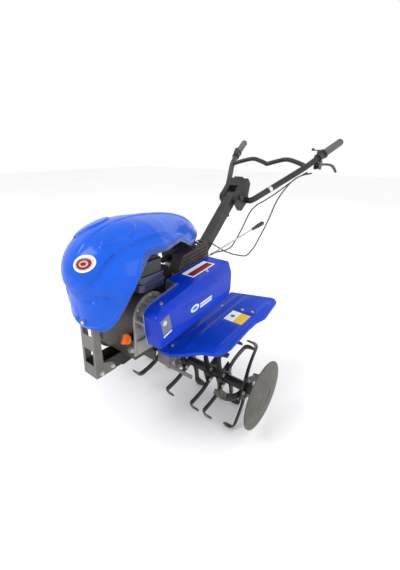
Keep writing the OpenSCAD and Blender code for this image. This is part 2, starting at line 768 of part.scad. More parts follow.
module handlebars() place(black_paint) both_sides() {
    left_bar();
    // clamping collar part of the way up
    difference() {
        bar(bar_bend + 0.30 * (bar_mid - bar_bend), bar_bend + 0.35 * (bar_mid - bar_bend), bar_r + 2);
        bar(bar_bend + 0.28 * (bar_mid - bar_bend), bar_bend + 0.38 * (bar_mid - bar_bend), bar_r - 0.01);
    }
}

cross_r = 11;
cross_high = [93, 747, 986];
cross_mid = [0, 725, 963];
cross_end = bar_mid + (bar_r + 4) * unit(cross_high - bar_mid);

module cross_bar() place(black_paint) {
    both_sides() {
        bar(cross_high, cross_end, cross_r);
        bar(cross_mid, cross_high, cross_r);
    }
    // the balls' poles lie along the bar
    for (p = [cross_mid, cross_high, mirrored(cross_high)])
        translate(p) rotate([0, 90, 0]) sphere(r = cross_r + 1.5);
}

module grips() place(rubber) both_sides() difference() {
    d = unit(grip_end - bar_top);
    union() {
        bar(bar_top + 4 * d, grip_end, grip_r);
        bar(bar_top + 4 * d, bar_top + 9 * d, grip_r + 5);
    }
    bar(bar_top - 5 * d, grip_end - 7 * d, bar_r + run);
}

clamp_at = bar_mid + 0.78 * (bar_top - bar_mid);
clutch_pivot = [clamp_at.x, clamp_at.y + 6, clamp_at.z - 44];

module lever_clamps() place(rubber) {
    d = unit(bar_top - bar_mid);
    both_sides() difference() {
        union() {
            bar(clamp_at - 13 * d, clamp_at + 13 * d, bar_r + 6);
            // seat of the thumb throttle on one side, of the switch on the other
            translate(clamp_at + [-11, -10, 10]) cube([22, 22, 18]);
        }
        bar(clamp_at - 30 * d, clamp_at + 30 * d, bar_r + run);
    }
    // ears that carry the clutch lever's pin and the cable stops
    difference() {
        union() {
            for (x = [-13, 8]) translate(clutch_pivot + [x, -12, -14]) cube([5, 26, 42]);
            translate(clutch_pivot + [-13, -26, -10]) cube([26, 14, 34]);
        }
        bar(clamp_at - 50 * d, clamp_at + 50 * d, bar_r + 6);
        translate(clutch_pivot) x_rod(4 + run, -20, 20);
        translate(clutch_pivot + [-7, -30, -4]) cube([14, 19, 8]);
    }
    // collar round the stop button
    translate(mirrored(clamp_at) + [0, 1, 27.9]) difference() {
        cylinder(r = 11, h = 11);
        translate([0, 0, 3]) cylinder(r = 7 + gap, h = 20);
    }
}

lever_points = [[0, 8, 2], [0, 14, 4], [8, 74, 8], [24, 150, -2], [34, 208, -38]];

module clutch_lever() place(rubber) translate(clutch_pivot) {
    x_rod(4, -13, 13);
    difference() {
        x_rod(10, -7.5, 7.5);
        x_rod(3.9, -8, 8);
    }
    bar_run(lever_points, 6.5, 0.4);
    translate(lever_points[3]) sphere(r = 8);
}

thumb_at = clamp_at + [0, 1, 28 + gap];

module throttle_lever() place(rubber) translate(thumb_at) {
    cylinder(r = 9, h = 5);
    translate([-34, -4, 0]) cube([34, 8, 5]);
    translate([-40, -6, 0]) cube([10, 12, 12]);
}

module stop_button() place([0.75, 0.08, 0.06])
    translate(mirrored(clamp_at) + [0, 1, 35]) cylinder(r = 7, h = 8);

module lock_lever() place(rubber) translate(column_high) {
    x_rod(pivot_r, -pivot_half - 5, pivot_half + 3);
    x_rod(12, pivot_half + gap, pivot_half + 10);
    x_rod(13, -pivot_half - 12, -pivot_half - gap);
    rotate([column_lean - 100, 0, 0]) {
        translate([-pivot_half - 10, 0, -5]) cube([8, 92, 10]);
        translate([-pivot_half - 6, 92, 0]) rotate([-90, 0, 0]) cylinder(r = 9, h = 34);
    }
}

// ---- control cables ----

cable_r = 3;
throttle_upper = [[213, 776, 924], [200, 650, 915], [188, 570, 885], [170, 505, 820], [155, 488, 755],
    [145, 470, 705.5]];
throttle_lower = [[145, 469, 702], [130, 445, 643], [122, 427, 608], [112, 402, 580], [102, 383, 567],
    [90, 353, 573], [70, 315, 585], [46, 282, 602], [36, 231, 632], [31, 172, 666], [29, 130, 688]];
clutch_upper = [[199, 757, 928], [170, 690, 900], [130, 600, 845], [95, 530, 805], [78, 500, 790],
    [68, 462, 765], [62, 440.5, 736.5]];
clutch_lower = [[62, 439, 732], [54, 425, 695], [46, 402, 655], [48, 368, 630], [56, 320, 615],
    [68, 246, 618], [82, 150, 634], [92, 96, 640]];

// A smooth curve through the points, each stretch cut in m parts
function curve_at(p, i, t) = let (
    a = p[max(0, i - 1)], b = p[i], c = p[i + 1], d = p[min(len(p) - 1, i + 2)])
    0.5 * (2 * b + (c - a) * t + (2 * a - 5 * b + 4 * c - d) * t * t + (3 * b - 3 * c + d - a) * t * t * t);
function curve(p, m) = concat([for (i = [0 : len(p) - 2], k = [0 : m - 1]) curve_at(p, i, k / m)],
    [p[len(p) - 1]]);
// A closed round tube along the points, with eight sides
module cable(points, m) {
    path = curve(points, m);
    n = len(path);
    rings = [for (i = [0 : n - 1]) let (
        t = unit(path[min(n - 1, i + 1)] - path[max(0, i - 1)]),
        u = unit(cross(t, [1, 0, 0])),
        v = cross(t, u))
        for (k = [0 : 7]) path[i] + cable_r * (cos(45 * k) * u + sin(45 * k) * v)];
    polyhedron(rings, concat(
        [[for (k = [0 : 7]) k]],
        [[for (k = [7 : -1 : 0]) 8 * (n - 1) + k]],
        [for (i = [0 : n - 2], k = [0 : 7])
            [8 * i + k, 8 * (i + 1) + k, 8 * (i + 1) + (k + 1) % 8, 8 * i + (k + 1) % 8]]));
}

module clutch_cable_upper() place(rubber) cable(clutch_upper, 3);
module clutch_cable_lower() place(rubber) cable(clutch_lower, 3);
module throttle_cable_upper() place(rubber) cable(throttle_upper, 3);
module throttle_cable_lower() place(rubber) cable(throttle_lower, 3);

// ---- rotor ----

// Flange stations: distance from the middle, side the tips bend to, turn
flanges = [[66, 1, tip_phase], [190, 1, tip_phase], [250, 1, tip_phase], [352, -1, -tip_phase]];
flange_t = 6;
tube_r = tube_half / cos(30);
tube_end = disc_x - 7;
blade_root = 24;
blade_sweep = 30;
blade_steps = 8;

module on_axle() translate([0, 0, axle_z]) children();

module rotor_shaft() place(black_paint) on_axle() {
    x_rod(output_r, -boss_w - 1, boss_w + 1);
    both_sides() translate([boss_w + 1, 0, 0]) rotate([0, 90, 0])
        cylinder(r = tube_r, h = tube_end - boss_w - 1, $fn = 6);
}

module tine_flanges() place(black_paint) on_axle() both_sides() for (f = flanges) rotate([f.z, 0, 0])
    difference() {
        translate([f.x, -46, -46]) cube([flange_t, 92, 92]);
        rotate([-f.z, 0, 0]) translate([f.x - 1, 0, 0]) rotate([0, 90, 0])
            cylinder(r = tube_r, h = flange_t + 2, $fn = 6);
        for (a = [0 : 90 : 270]) rotate([a, 0, 0]) translate([f.x - 1, 0, 36])
            rotate([0, 90, 0]) cylinder(r = 4.5, h = flange_t + 2);
    }

// Centre line of a blade in its own plane; it leaves the hub ahead of its tip
function blade_at(t, side) = let (
    reach = blade_root + (tine_reach - 9 - blade_root) * t,
    turn = blade_sweep * pow(1 - t, 1.4) + 1.5,
    half = 17 - 4 * t)
    reach * [cos(turn), sin(turn)] + side * half * [-sin(turn - 22 * t), cos(turn - 22 * t)];

module tine(x, bend) {
    difference() {
        translate([x, 0, 0]) rotate([90, 0, 90]) linear_extrude(tine_t) polygon(concat(
            [for (i = [0 : blade_steps]) blade_at(i / blade_steps, 1)],
            [for (i = [blade_steps : -1 : 0]) blade_at(i / blade_steps, -1)]));
        rotate([-4, 0, 0]) translate([0, 0, 0]) translate([x - 1, 36 * cos(26), 36 * sin(26)])
            x_rod(4.5, 0, tine_t + 2);
    }
    translate([bend > 0 ? x : x + tine_t - tip_l, tine_reach - 6, -tip_w / 2]) cube([tip_l, 6, tip_w]);
}

module tines() place(black_paint) on_axle() both_sides() for (f = flanges, a = [0 : 90 : 270])
    rotate([f.z + a, 0, 0]) tine(f.y > 0 ? f.x + flange_t : f.x - tine_t, f.y);

module rotor_bolts() place(zinc) on_axle() both_sides() for (f = flanges, a = [0 : 90 : 270])
    rotate([f.z + a, 0, 0]) {
        p = 36 * [cos(22), sin(22)];
        translate([f.y > 0 ? f.x + flange_t + tine_t : f.x + flange_t, p.x, p.y]) x_rod(8, 0, 6);
        translate([f.y > 0 ? f.x - 6 : f.x - tine_t - 6, p.x, p.y]) x_rod(8, 0, 6);
    }

dome_h = 15;
dome_r = (disc_r * disc_r + dome_h * dome_h) / (2 * dome_h);
dome_span = asin(disc_r / dome_r);
disc_t = 3;

module plant_discs() place(grey_paint) on_axle() both_sides() {
    translate([disc_x + dome_h - dome_r, 0, 0]) rotate([0, 90, 0]) rotate_extrude($fn = 96)
        polygon(concat(
            [for (i = [0 : 10]) dome_r * [sin(dome_span * i / 10), cos(dome_span * i / 10)]],
            [for (i = [10 : -1 : 0]) (dome_r - disc_t) * [sin(dome_span * i / 10), cos(dome_span * i / 10)]]));
    difference() {
        x_rod(27, disc_x - 40, disc_x + 8);
        translate([disc_x - 41, 0, 0]) rotate([0, 90, 0]) cylinder(r = tube_r, h = 34, $fn = 6);
    }
}

// ---- fasteners ----

module steel_bolts() place(zinc) {
    for (s = [-1, 1], p = foot_bolts) head_on_x([s * (rail_half + sheet_t), p.x, p.y], 8, s);
    for (y = cross_y, x = [-mount_x, mount_x]) translate([x, y + 22, bed_z + 12]) bolt_head(8);
    for (x = [-48, 48], z = [frame_z + 18, frame_z + 92])
        translate([x, rail_end_y, z]) rotate([90, 0, 0]) bolt_head(8);
    for (a = [30 : 60 : 330]) head_on_x([case_x[1] + 8, crank_y + 68 * cos(a), crank_z + 68 * sin(a)], 6, 1);
    for (a = post_turns)
        head_on_x([plate_front_x + plate_t, crank_y + post_r * cos(a), crank_z + post_r * sin(a)], 6, 1);
    // drain plug under the filler
    translate([84, crank_y - case_r, bed_z + 34]) rotate([90, 0, 0]) bolt_head(12);
    for (p = [[-50, 410], [24, 300], [-56, 300], [26, 470], [-44, 500]])
        both_sides() head_on_x([gearbox_w, p.x, p.y], 7, 1);
}

module trim_bolts() place(zinc) {
    for (x = [-hood_bolt_x, hood_bolt_x]) translate([x, bumper_y - tab_reach - 14, hood_bolt_z])
        rotate([90, 0, 0]) {
            cylinder(r = 6, h = 4);
            translate([0, 0, -19]) cylinder(r = 3, h = 20);
        }
    // on the guard's top, each with its height and lean
    for (p = [[-308, 593.4, 10.9], [-60, 630.7, 6]])
        translate([178, p.x, p.y]) rotate([p.z, 0, 0]) bolt_head(6);
    both_sides() translate([0, 0, fender_z]) rotate([fender_lean, 0, 0])
        for (p = fender_bolt_plan) translate([p.x, p.y, 0]) bolt_head(6);
}

engine_frame();
front_bumper();
hood();
crankcase();
crankcase_cover();
cylinder_block();
cylinder_head();
valve_cover();
spark_plug();
blower_housing();
recoil_cover();
fuel_tank();
carburettor();
air_cleaner();
muffler();
muffler_guard();
drive_belts();
gearbox_left();
gearbox_right();
belt_guard();
guard_backplate();
fender_left();
fender_right();
fender_brackets();
hitch_bracket();
handle_column();
steel_bolts();
trim_bolts();
clutch_cable_lower();
throttle_cable_lower();
crankshaft();
engine_pulley();
flywheel();
input_shaft();
input_pulley();
idler_arm();
idler_roller();
rotor_shaft();
tine_flanges();
tines();
plant_discs();
rotor_bolts();
fuel_cap();
oil_cap();
recoil_grip();
choke_lever();
shift_rod();
shift_knob();
handle_head();
handlebars();
cross_bar();
grips();
lever_clamps();
clutch_cable_upper();
throttle_cable_upper();
clutch_lever();
throttle_lever();
stop_button();
lock_lever();
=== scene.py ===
"""A walk-behind tiller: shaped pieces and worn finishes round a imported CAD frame."""

import json
import logging
import math
from dataclasses import dataclass, replace
from enum import Enum
from typing import Any, Sequence

import bmesh
import bpy
import numpy as np
from mathutils import Matrix, Vector


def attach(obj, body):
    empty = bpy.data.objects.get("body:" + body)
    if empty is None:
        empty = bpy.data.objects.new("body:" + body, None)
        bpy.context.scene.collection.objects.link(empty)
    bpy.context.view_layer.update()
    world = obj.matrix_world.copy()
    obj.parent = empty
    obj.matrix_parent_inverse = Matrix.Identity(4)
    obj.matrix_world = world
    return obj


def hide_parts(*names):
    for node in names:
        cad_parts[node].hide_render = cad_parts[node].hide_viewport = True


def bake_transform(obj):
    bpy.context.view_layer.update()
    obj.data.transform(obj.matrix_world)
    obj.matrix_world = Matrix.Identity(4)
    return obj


log = logging.getLogger("tiller")
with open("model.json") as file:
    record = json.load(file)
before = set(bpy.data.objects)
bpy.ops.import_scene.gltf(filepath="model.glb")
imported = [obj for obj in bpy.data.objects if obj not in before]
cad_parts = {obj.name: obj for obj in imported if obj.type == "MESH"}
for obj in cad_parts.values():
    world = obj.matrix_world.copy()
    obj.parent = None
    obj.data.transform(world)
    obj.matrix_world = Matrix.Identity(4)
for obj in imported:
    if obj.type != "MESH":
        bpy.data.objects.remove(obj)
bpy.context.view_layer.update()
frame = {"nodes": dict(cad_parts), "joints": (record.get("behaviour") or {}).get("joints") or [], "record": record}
NODES: dict[str, bpy.types.Object] = frame["nodes"]
NODE_SLOTS: dict[str, str] = {
    s["node"]: s["material_slot"] for s in frame["record"]["subparts"]
}
NODE_BODY: dict[str, str] = {
    node: body
    for body, members in frame["record"]["behaviour"]["bodies"].items()
    for node in members
}
JOINTS: dict[str, dict[str, Any]] = {j["name"]: j for j in frame["joints"]}
AXLE = np.array(JOINTS["rotor_spin"]["pos_m"], float)
ROTOR_Y = float(AXLE[1])
AXLE_Z = float(AXLE[2])

Colour = tuple[float, float, float]


def place(points: Sequence[Sequence[float]]) -> np.ndarray:
    """Turns drawing points into row-frame metres.

    Args:
        points: Points in millimetres, measured from the rotor axle's y.

    Returns:
        The same points in metres in the row frame, as an array of rows.
    """
    return np.asarray(points, float) / 1000.0 + np.array([0.0, ROTOR_Y, 0.0])


def smooth(low: float, high: float, value: np.ndarray) -> np.ndarray:
    """A smooth step: 0 below low, 1 above high, and t*t*(3-2t) between.

    Args:
        low: Where the step starts.
        high: Where it ends; it may be below low for a falling step.
        value: The values to step.

    Returns:
        Shares from 0 to 1.
    """
    t = np.clip((value - low) / (high - low), 0.0, 1.0)
    return t * t * (3.0 - 2.0 * t)


@dataclass
class Surface:
    """Points and faces of a piece, worked out as whole arrays."""

    points: np.ndarray
    faces: list[np.ndarray]

    @staticmethod
    def grid(
        points: np.ndarray,
        round_u: bool = False,
        round_v: bool = False,
        caps: bool = False,
    ) -> "Surface":
        """Quads over a grid of points.

        Args:
            points: Array of shape (u, v, 3).
            round_u: Joins the last row to the first.
            round_v: Joins the last column to the first.
            caps: Closes the first and last row with a fan to their middle.

        Returns:
            The surface.
        """
        n, m = points.shape[:2]
        rows = np.arange(n if round_u else n - 1)[:, None]
        cols = np.arange(m if round_v else m - 1)[None, :]
        below, right = (rows + 1) % n, (cols + 1) % m
        quads = np.stack(
            [
                rows * m + cols,
                rows * m + right,
                below * m + right,
                below * m + cols,
            ],
            axis=-1,
        ).reshape(-1, 4)
        flat = points.reshape(-1, 3)
        faces = [quads]
        if caps:
            flat = np.vstack([flat, points[0].mean(0), points[-1].mean(0)])
            ring = np.arange(m)
            turn = (ring + 1) % m
            first = np.stack([np.full(m, n * m), turn, ring], axis=-1)
            last = np.stack(
                [np.full(m, n * m + 1), (n - 1) * m + ring, (n - 1) * m + turn],
                axis=-1,
            )
            faces += [first, last]
        return Surface(flat, faces)

    def outward(self) -> "Surface":
        """Turns the faces outwards, read from the sign of the enclosed volume."""
        volume = 0.0
        for f in self.faces:
            corners = self.points[f]
            for k in range(1, f.shape[1] - 1):
                volume += np.einsum(
                    "ij,ij->", corners[:, 0], np.cross(corners[:, k], corners[:, k + 1])
                )
        if volume < 0:
            self.faces = [f[:, ::-1] for f in self.faces]
        return self

    def moved(self, matrix: np.ndarray, shift: np.ndarray) -> "Surface":
        """A copy with each point multiplied by matrix and then shifted."""
        return Surface(self.points @ matrix.T + shift, list(self.faces)).outward()

    def mirrored(self) -> "Surface":
        """The same surface on the machine's other side."""
        return Surface(self.points * np.array([-1.0, 1.0, 1.0]), list(self.faces)).outward()

    @staticmethod
    def together(parts: Sequence["Surface"]) -> "Surface":
        """One surface that holds several, each still closed by itself."""
        points: list[np.ndarray] = []
        faces: list[np.ndarray] = []
        count = 0
        for part in parts:
            points.append(part.points)
            faces += [f + count for f in part.faces]
            count += len(part.points)
        return Surface(np.vstack(points), faces)


def sweep(
    path: np.ndarray, radius: np.ndarray | float, side: Sequence[float] = (1, 0, 0),
    flat: float = 1.0, count: int = 24,
) -> Surface:
    """A closed tube: a circle, or an ellipse, carried along a path.

    Each ring stands square to the path's direction; its first axis is the
    cross product of that direction with side, and its second is square to both.

    Args:
        path: Points of the centre line, shape (n, 3).
        radius: One radius, or one for each point.
        side: A direction that the path never runs along.
        flat: Height of the section over its width.
        count: Points round each ring.

    Returns:
        The tube with both ends closed.
    """
    direction = np.gradient(path, axis=0)
    direction /= np.linalg.norm(direction, axis=1)[:, None]
    a = np.cross(direction, np.asarray(side, float))
    a /= np.linalg.norm(a, axis=1)[:, None]
    b = np.cross(direction, a)
    r = np.broadcast_to(np.asarray(radius, float), (len(path),))[:, None, None]
    turn = np.linspace(0, 2 * np.pi, count, endpoint=False)[None, :, None]
    rings = path[:, None] + r * (
        flat * np.cos(turn) * a[:, None] + np.sin(turn) * b[:, None]
    )
    return Surface.grid(rings, round_v=True, caps=True).outward()


def revolve(
    profile: np.ndarray, centre: np.ndarray, axis: Sequence[float], count: int = 48
) -> Surface:
    """A closed profile of (distance along the axis, radius) turned about an axis.

    Args:
        profile: Closed loop of points, shape (k, 2).
        centre: The axis starts here.
        axis: Its direction.
        count: Steps of the turn.

    Returns:
        The ring-shaped or solid surface.
    """
    z = np.asarray(axis, float) / np.linalg.norm(axis)
    x = np.cross(z, [0.0, 0.0, 1.0] if abs(z[2]) < 0.9 else [1.0, 0.0, 0.0])
    x /= np.linalg.norm(x)
    y = np.cross(z, x)
    turn = np.linspace(0, 2 * np.pi, count, endpoint=False)[:, None, None]
    rings = (
        np.asarray(centre)
        + profile[None, :, :1] * z
        + profile[None, :, 1:] * (np.cos(turn) * x + np.sin(turn) * y)
    )
    return Surface.grid(rings, round_u=True, round_v=True).outward()


def curve(points: np.ndarray, steps: int) -> np.ndarray:
    """A Catmull-Rom curve through the points, each stretch cut into steps.

    Args:
        points: Route points, shape (n, 3).
        steps: Cuts in each stretch.

    Returns:
        The points of the curve.
    """
    p = np.vstack([points[:1], points, points[-1:]])
    t = np.linspace(0, 1, steps, endpoint=False)[None, :, None]
    a, b, c, d = (p[k : len(p) - 3 + k][:, None] for k in range(4))
    stretch = 0.5 * (
        2 * b + (c - a) * t + (2 * a - 5 * b + 4 * c - d) * t**2
        + (3 * b - 3 * c + d - a) * t**3
    )
    return np.vstack([stretch.reshape(-1, 3), points[-1:]])


def bent(points: np.ndarray, radius: float, steps: int = 10) -> np.ndarray:
    """A path of straight runs whose corners are rounded by quadratic curves.

    Args:
        points: Corners of the path, shape (n, 3).
        radius: Length of run given up on each side of a corner.
        steps: Points on each corner and each run.

    Returns:
        The points of the path.
    """
    out = [points[:1]]
    t = np.linspace(0, 1, steps)[:, None]
    for before, corner, after in zip(points[:-2], points[1:-1], points[2:]):
        reach_in = min(radius, 0.45 * np.linalg.norm(corner - before))
        reach_out = min(radius, 0.45 * np.linalg.norm(after - corner))
        a = corner + (before - corner) / np.linalg.norm(before - corner) * reach_in
        b = corner + (after - corner) / np.linalg.norm(after - corner) * reach_out
        out.append((1 - t) ** 2 * a + 2 * t * (1 - t) * corner + t**2 * b)
    out.append(points[-1:])
    path = np.vstack(out)
    keep = np.r_[True, np.linalg.norm(np.diff(path, axis=0), axis=1) > 1e-6]
    path = path[keep]
    along = np.r_[0, np.cumsum(np.linalg.norm(np.diff(path, axis=0), axis=1))]
    even = np.linspace(0, along[-1], max(len(path), int(along[-1] / 0.008)))
    return np.stack([np.interp(even, along, path[:, k]) for k in range(3)], axis=-1)


class Link:
    """A shader socket that takes part in Python arithmetic."""

    def __init__(self, shader: "Shader", socket: bpy.types.NodeSocket) -> None:
        """Wraps one output socket of a shader."""
        self.shader = shader
        self.socket = socket

    def __add__(self, other: Any) -> "Link":
        """self + other."""
        return self.shader.math("ADD", self, other)

    __radd__ = __add__

    def __sub__(self, other: Any) -> "Link":
        """self - other."""
        return self.shader.math("SUBTRACT", self, other)

    def __rsub__(self, other: Any) -> "Link":
        """other - self."""
        return self.shader.math("SUBTRACT", other, self)

    def __mul__(self, other: Any) -> "Link":
        """self * other."""
        return self.shader.math("MULTIPLY", self, other)

    __rmul__ = __mul__

    def __truediv__(self, other: Any) -> "Link":
        """self / other."""
        return self.shader.math("DIVIDE", self, other)

    def __abs__(self) -> "Link":
        """The size of self."""
        return self.shader.math("ABSOLUTE", self)

    def most(self, other: Any) -> "Link":
        """The larger of two values."""
        return self.shader.math("MAXIMUM", self, other)

    def power(self, other: Any) -> "Link":
        """self to the power of other."""
        return self.shader.math("POWER", self, other)

    def wave(self) -> "Link":
        """The sine of self."""
        return self.shader.math("SINE", self)

    def step(self, low: float, high: float) -> "Link":
        """A smooth step of self from 0 at low to 1 at high."""
        if low > high:
            return 1.0 - self.step(high, low)
        node = self.shader.node(
            "ShaderNodeMapRange",
            {"interpolation_type": "SMOOTHSTEP"},
            {"Value": self, "From Min": low, "From Max": high},
        )
        return Link(self.shader, node.outputs["Result"])


class Shader:
    """One material and the nodes that make it."""

    def __init__(self, name: str) -> None:
        """Starts an empty material with the object's own coordinates at hand."""
        self.material = bpy.data.materials.new(name)
        self.material.use_nodes = True
        self.tree = self.material.node_tree
        self.tree.nodes.clear()
        self.coords = Link(
            self, self.node("ShaderNodeTexCoord").outputs["Object"]
        )
        split = self.node("ShaderNodeSeparateXYZ", {}, {"Vector": self.coords})
        self.x, self.y, self.z = (Link(self, split.outputs[k]) for k in range(3))

    def node(
        self, kind: str, settings: dict[str, Any] | None = None,
        inputs: dict[Any, Any] | None = None,
    ) -> bpy.types.Node:
        """Adds any node.

        Args:
            kind: The node's type.
            settings: Properties, set before the sockets.
            inputs: Socket name or number to a value or a Link.

        Returns:
            The node.
        """
        made = self.tree.nodes.new(kind)
        for key, value in (settings or {}).items():
            setattr(made, key, value)
        for key, value in (inputs or {}).items():
            if isinstance(value, Link):
                self.tree.links.new(value.socket, made.inputs[key])
            elif isinstance(value, tuple) and len(value) == 3 and made.inputs[key].type == "RGBA":
                made.inputs[key].default_value = (*value, 1.0)
            else:
                made.inputs[key].default_value = value
        return made

    def math(self, operation: str, *values: Any) -> Link:
        """A Math node on up to two values, as a Link."""
        node = self.node(
            "ShaderNodeMath", {"operation": operation}, dict(enumerate(values))
        )
        return Link(self, node.outputs[0])

    def noise(
        self, scale: float, detail: float = 3.0, rough: float = 0.55,
        stretch: tuple[float, float, float] | None = None,
    ) -> Link:
        """Noise over the piece.

        Args:
            scale: Spots per metre.
            detail: Octaves.
            rough: Strength of the fine octaves.
            stretch: How much denser the pattern is along each axis.

        Returns:
            Values near 0.5.
        """
        vector = self.coords
        if stretch:
            mapped = self.node(
                "ShaderNodeMapping", {}, {"Vector": self.coords, "Scale": stretch}
            )
            vector = Link(self, mapped.outputs["Vector"])
        node = self.node(
            "ShaderNodeTexNoise", {},
            {"Vector": vector, "Scale": scale, "Detail": detail, "Roughness": rough},
        )
        return Link(self, node.outputs[0])

    def cells(self, scale: float) -> Link:
        """Distance to the nearest of scattered points, for pits and grains."""
        node = self.node("ShaderNodeTexVoronoi", {}, {"Vector": self.coords, "Scale": scale})
        return Link(self, node.outputs["Distance"])

    def mix(self, share: Any, first: Any, second: Any) -> Link:
        """A colour between first, at share 0, and second, at share 1."""
        node = self.node(
            "ShaderNodeMix", {"data_type": "RGBA"},
            {0: share, 6: first, 7: second},
        )
        return Link(self, node.outputs[2])

    def done(
        self, colour: Any, rough: Any, metal: Any = 0.0, height: Link | None = None,
        depth: float = 0.0005, coat: float = 0.0, gloss: float = 0.5,
    ) -> bpy.types.Material:
        """Ends the material with its surface.

        Args:
            colour: Base colour.
            rough: Roughness.
            metal: Metallic share.
            height: Relief from 0 to 1, if any.
            depth: Depth of that relief in metres.
            coat: Clear coat.
            gloss: Strength of the plain reflection.

        Returns:
            The finished material.
        """
        inputs: dict[Any, Any] = {
            "Base Color": colour, "Roughness": rough, "Metallic": metal,
            "Coat Weight": coat, "Coat Roughness": 0.05, "Specular IOR Level": gloss,
        }
        if height is not None:
            bump = self.node(
                "ShaderNodeBump", {}, {"Height": height, "Distance": depth, "Strength": 1.0}
            )
            inputs["Normal"] = Link(self, bump.outputs[0])
        surface = self.node("ShaderNodeBsdfPrincipled", {}, inputs)
        self.node(
            "ShaderNodeOutputMaterial", {},
            {"Surface": Link(self, surface.outputs[0])},
        )
        return self.material


class Outline(Enum):
    """Shapes a printed mark can have."""

    OVAL = "oval"
    BOX = "box"


@dataclass(frozen=True)
class Mark:
    """A generic printed mark, thrown onto a surface along one axis.

    The mark is where a distance is under 1: the root of the summed squares of
    the two turned offsets over their half sizes for an oval, and the larger of
    the two for a box.
    """

    across: str
    centre: tuple[float, float]
    half: tuple[float, float]
    colour: Colour
    turn: float = 0.0
    outline: Outline = Outline.BOX
    lowest: float = -9.0

    def mask(self, shader: Shader) -> Link:
        """The mark's share at each point, from 0 to 1."""
        axes = {"x": (shader.y, shader.z), "y": (shader.x, shader.z), "z": (shader.x, shader.y)}
        u, v = axes[self.across]
        middle = place([[0, 0, 0]])[0]
        offset = {"x": (middle[1], 0), "y": (0, 0), "z": (0, middle[1])}[self.across]
        du = u - (self.centre[0] / 1000 + offset[0])
        dv = v - (self.centre[1] / 1000 + offset[1])
        c, s = math.cos(math.radians(self.turn)), math.sin(math.radians(self.turn))
        a = (du * c + dv * s) / (self.half[0] / 1000)
        b = (dv * c - du * s) / (self.half[1] / 1000)
        if self.outline is Outline.OVAL:
            distance = (a * a + b * b).power(0.5)
        else:
            distance = abs(a).most(abs(b))
        depth = {"x": shader.x, "y": 0.0 - shader.y, "z": shader.z}[self.across]
        return distance.step(1.03, 0.97) * depth.step(self.lowest - 0.001, self.lowest + 0.001)


@dataclass(frozen=True)
class Finish:
    """A painted, cast, plated or moulded surface.

    Colour varies with broad noise, dust gathers low down, and fine noise gives
    the skin: orange peel on paint, sand grain on castings, texture on plastic.
    """

    name: str
    base: Colour
    rough: float
    metal: float = 0.0
    coat: float = 0.0
    gloss: float = 0.5
    skin_scale: float = 600.0
    skin_depth: float = 0.00006
    tone: float = 0.12
    dust: float = 0.15
    dust_colour: Colour = (0.30, 0.26, 0.21)
    scuffs: float = 0.0
    scuff_colour: Colour = (0.35, 0.34, 0.32)
    stretch: tuple[float, float, float] | None = None
    marks: tuple[Mark, ...] = ()

    def relief(self, shader: Shader) -> Link:
        """Height of the skin, from 0 to 1."""
        return shader.noise(self.skin_scale, 2.0, 0.5, self.stretch)

    def tint(self, shader: Shader) -> Any:
        """Base colour before dust, scuffs and marks."""
        dark = tuple(c * (1 - self.tone) for c in self.base)
        light = tuple(min(1.0, c * (1 + self.tone) + 0.004) for c in self.base)
        return shader.mix(shader.noise(9.0, 4.0).step(0.3, 0.7), dark, light)

    def build(self) -> bpy.types.Material:
        """Makes the material."""
        s = Shader(self.name)
        colour = self.tint(s)
        speck = s.noise(120.0, 4.0, 0.65, self.stretch)
        cover = (s.z.step(0.75, 0.1) * 0.7 + 0.3) * s.noise(14.0, 5.0, 0.65).step(0.42, 0.75)
        dusty = cover * self.dust
        colour = s.mix(dusty, colour, self.dust_colour)
        rough: Any = (speck - 0.5) * 0.12 + self.rough + dusty * 0.35
        if self.scuffs:
            scratch = s.noise(55.0, 6.0, 0.75).step(0.62, 0.72) * self.scuffs
            colour = s.mix(scratch, colour, self.scuff_colour)
            rough = rough + scratch * 0.1
        for mark in self.marks:
            mask = mark.mask(s)
            colour = s.mix(mask, colour, mark.colour)
            rough = rough + mask * 0.08
        return s.done(
            colour, rough, self.metal, self.relief(s), self.skin_depth, self.coat, self.gloss
        )


@dataclass(frozen=True)
class CastFinish(Finish):
    """Cast alloy: sand grain with scattered pits."""

    def relief(self, shader: Shader) -> Link:
        """Grain plus shallow pits."""
        return shader.noise(420.0, 4.0, 0.7) * 0.7 + shader.cells(260.0).step(0.0, 0.5) * 0.3

    def tint(self, shader: Shader) -> Any:
        """Grey metal with oily patches."""
        oily = tuple(c * 0.62 for c in self.base)
        return shader.mix(shader.noise(26.0, 5.0, 0.6).step(0.45, 0.75), self.base, oily)


@dataclass(frozen=True)
class WornSteelFinish(Finish):
    """Black paint that wears to bare steel towards the tine tips.

    Wear grows with the distance from the rotor axle, broken up by noise.
    """

    def tint(self, shader: Shader) -> Any:
        """Black near the axle, steel with a little soil at the tips."""
        dy, dz = shader.y - ROTOR_Y, shader.z - AXLE_Z
        reach = (dy * dy + dz * dz).power(0.5)
        broken = reach + (shader.noise(45.0, 5.0, 0.7) - 0.5) * 0.09
        patches = shader.noise(160.0, 3.0).step(0.3, 0.7)
        steel = shader.mix(patches, (0.10, 0.095, 0.09), (0.20, 0.185, 0.165))
        return shader.mix(broken.step(0.158, 0.200), self.base, steel)


@dataclass(frozen=True)
class RibbedRubberFinish(Finish):
    """Moulded rubber with a fine cross-hatched skin."""

    def relief(self, shader: Shader) -> Link:
        """Two slanting sine waves crossing, over fine grain."""
        first = ((shader.y + shader.z) * 1800.0).wave()
        second = ((shader.y - shader.z) * 1800.0).wave()
        return first * second * 0.25 + 0.5 + shader.noise(500.0) * 0.2


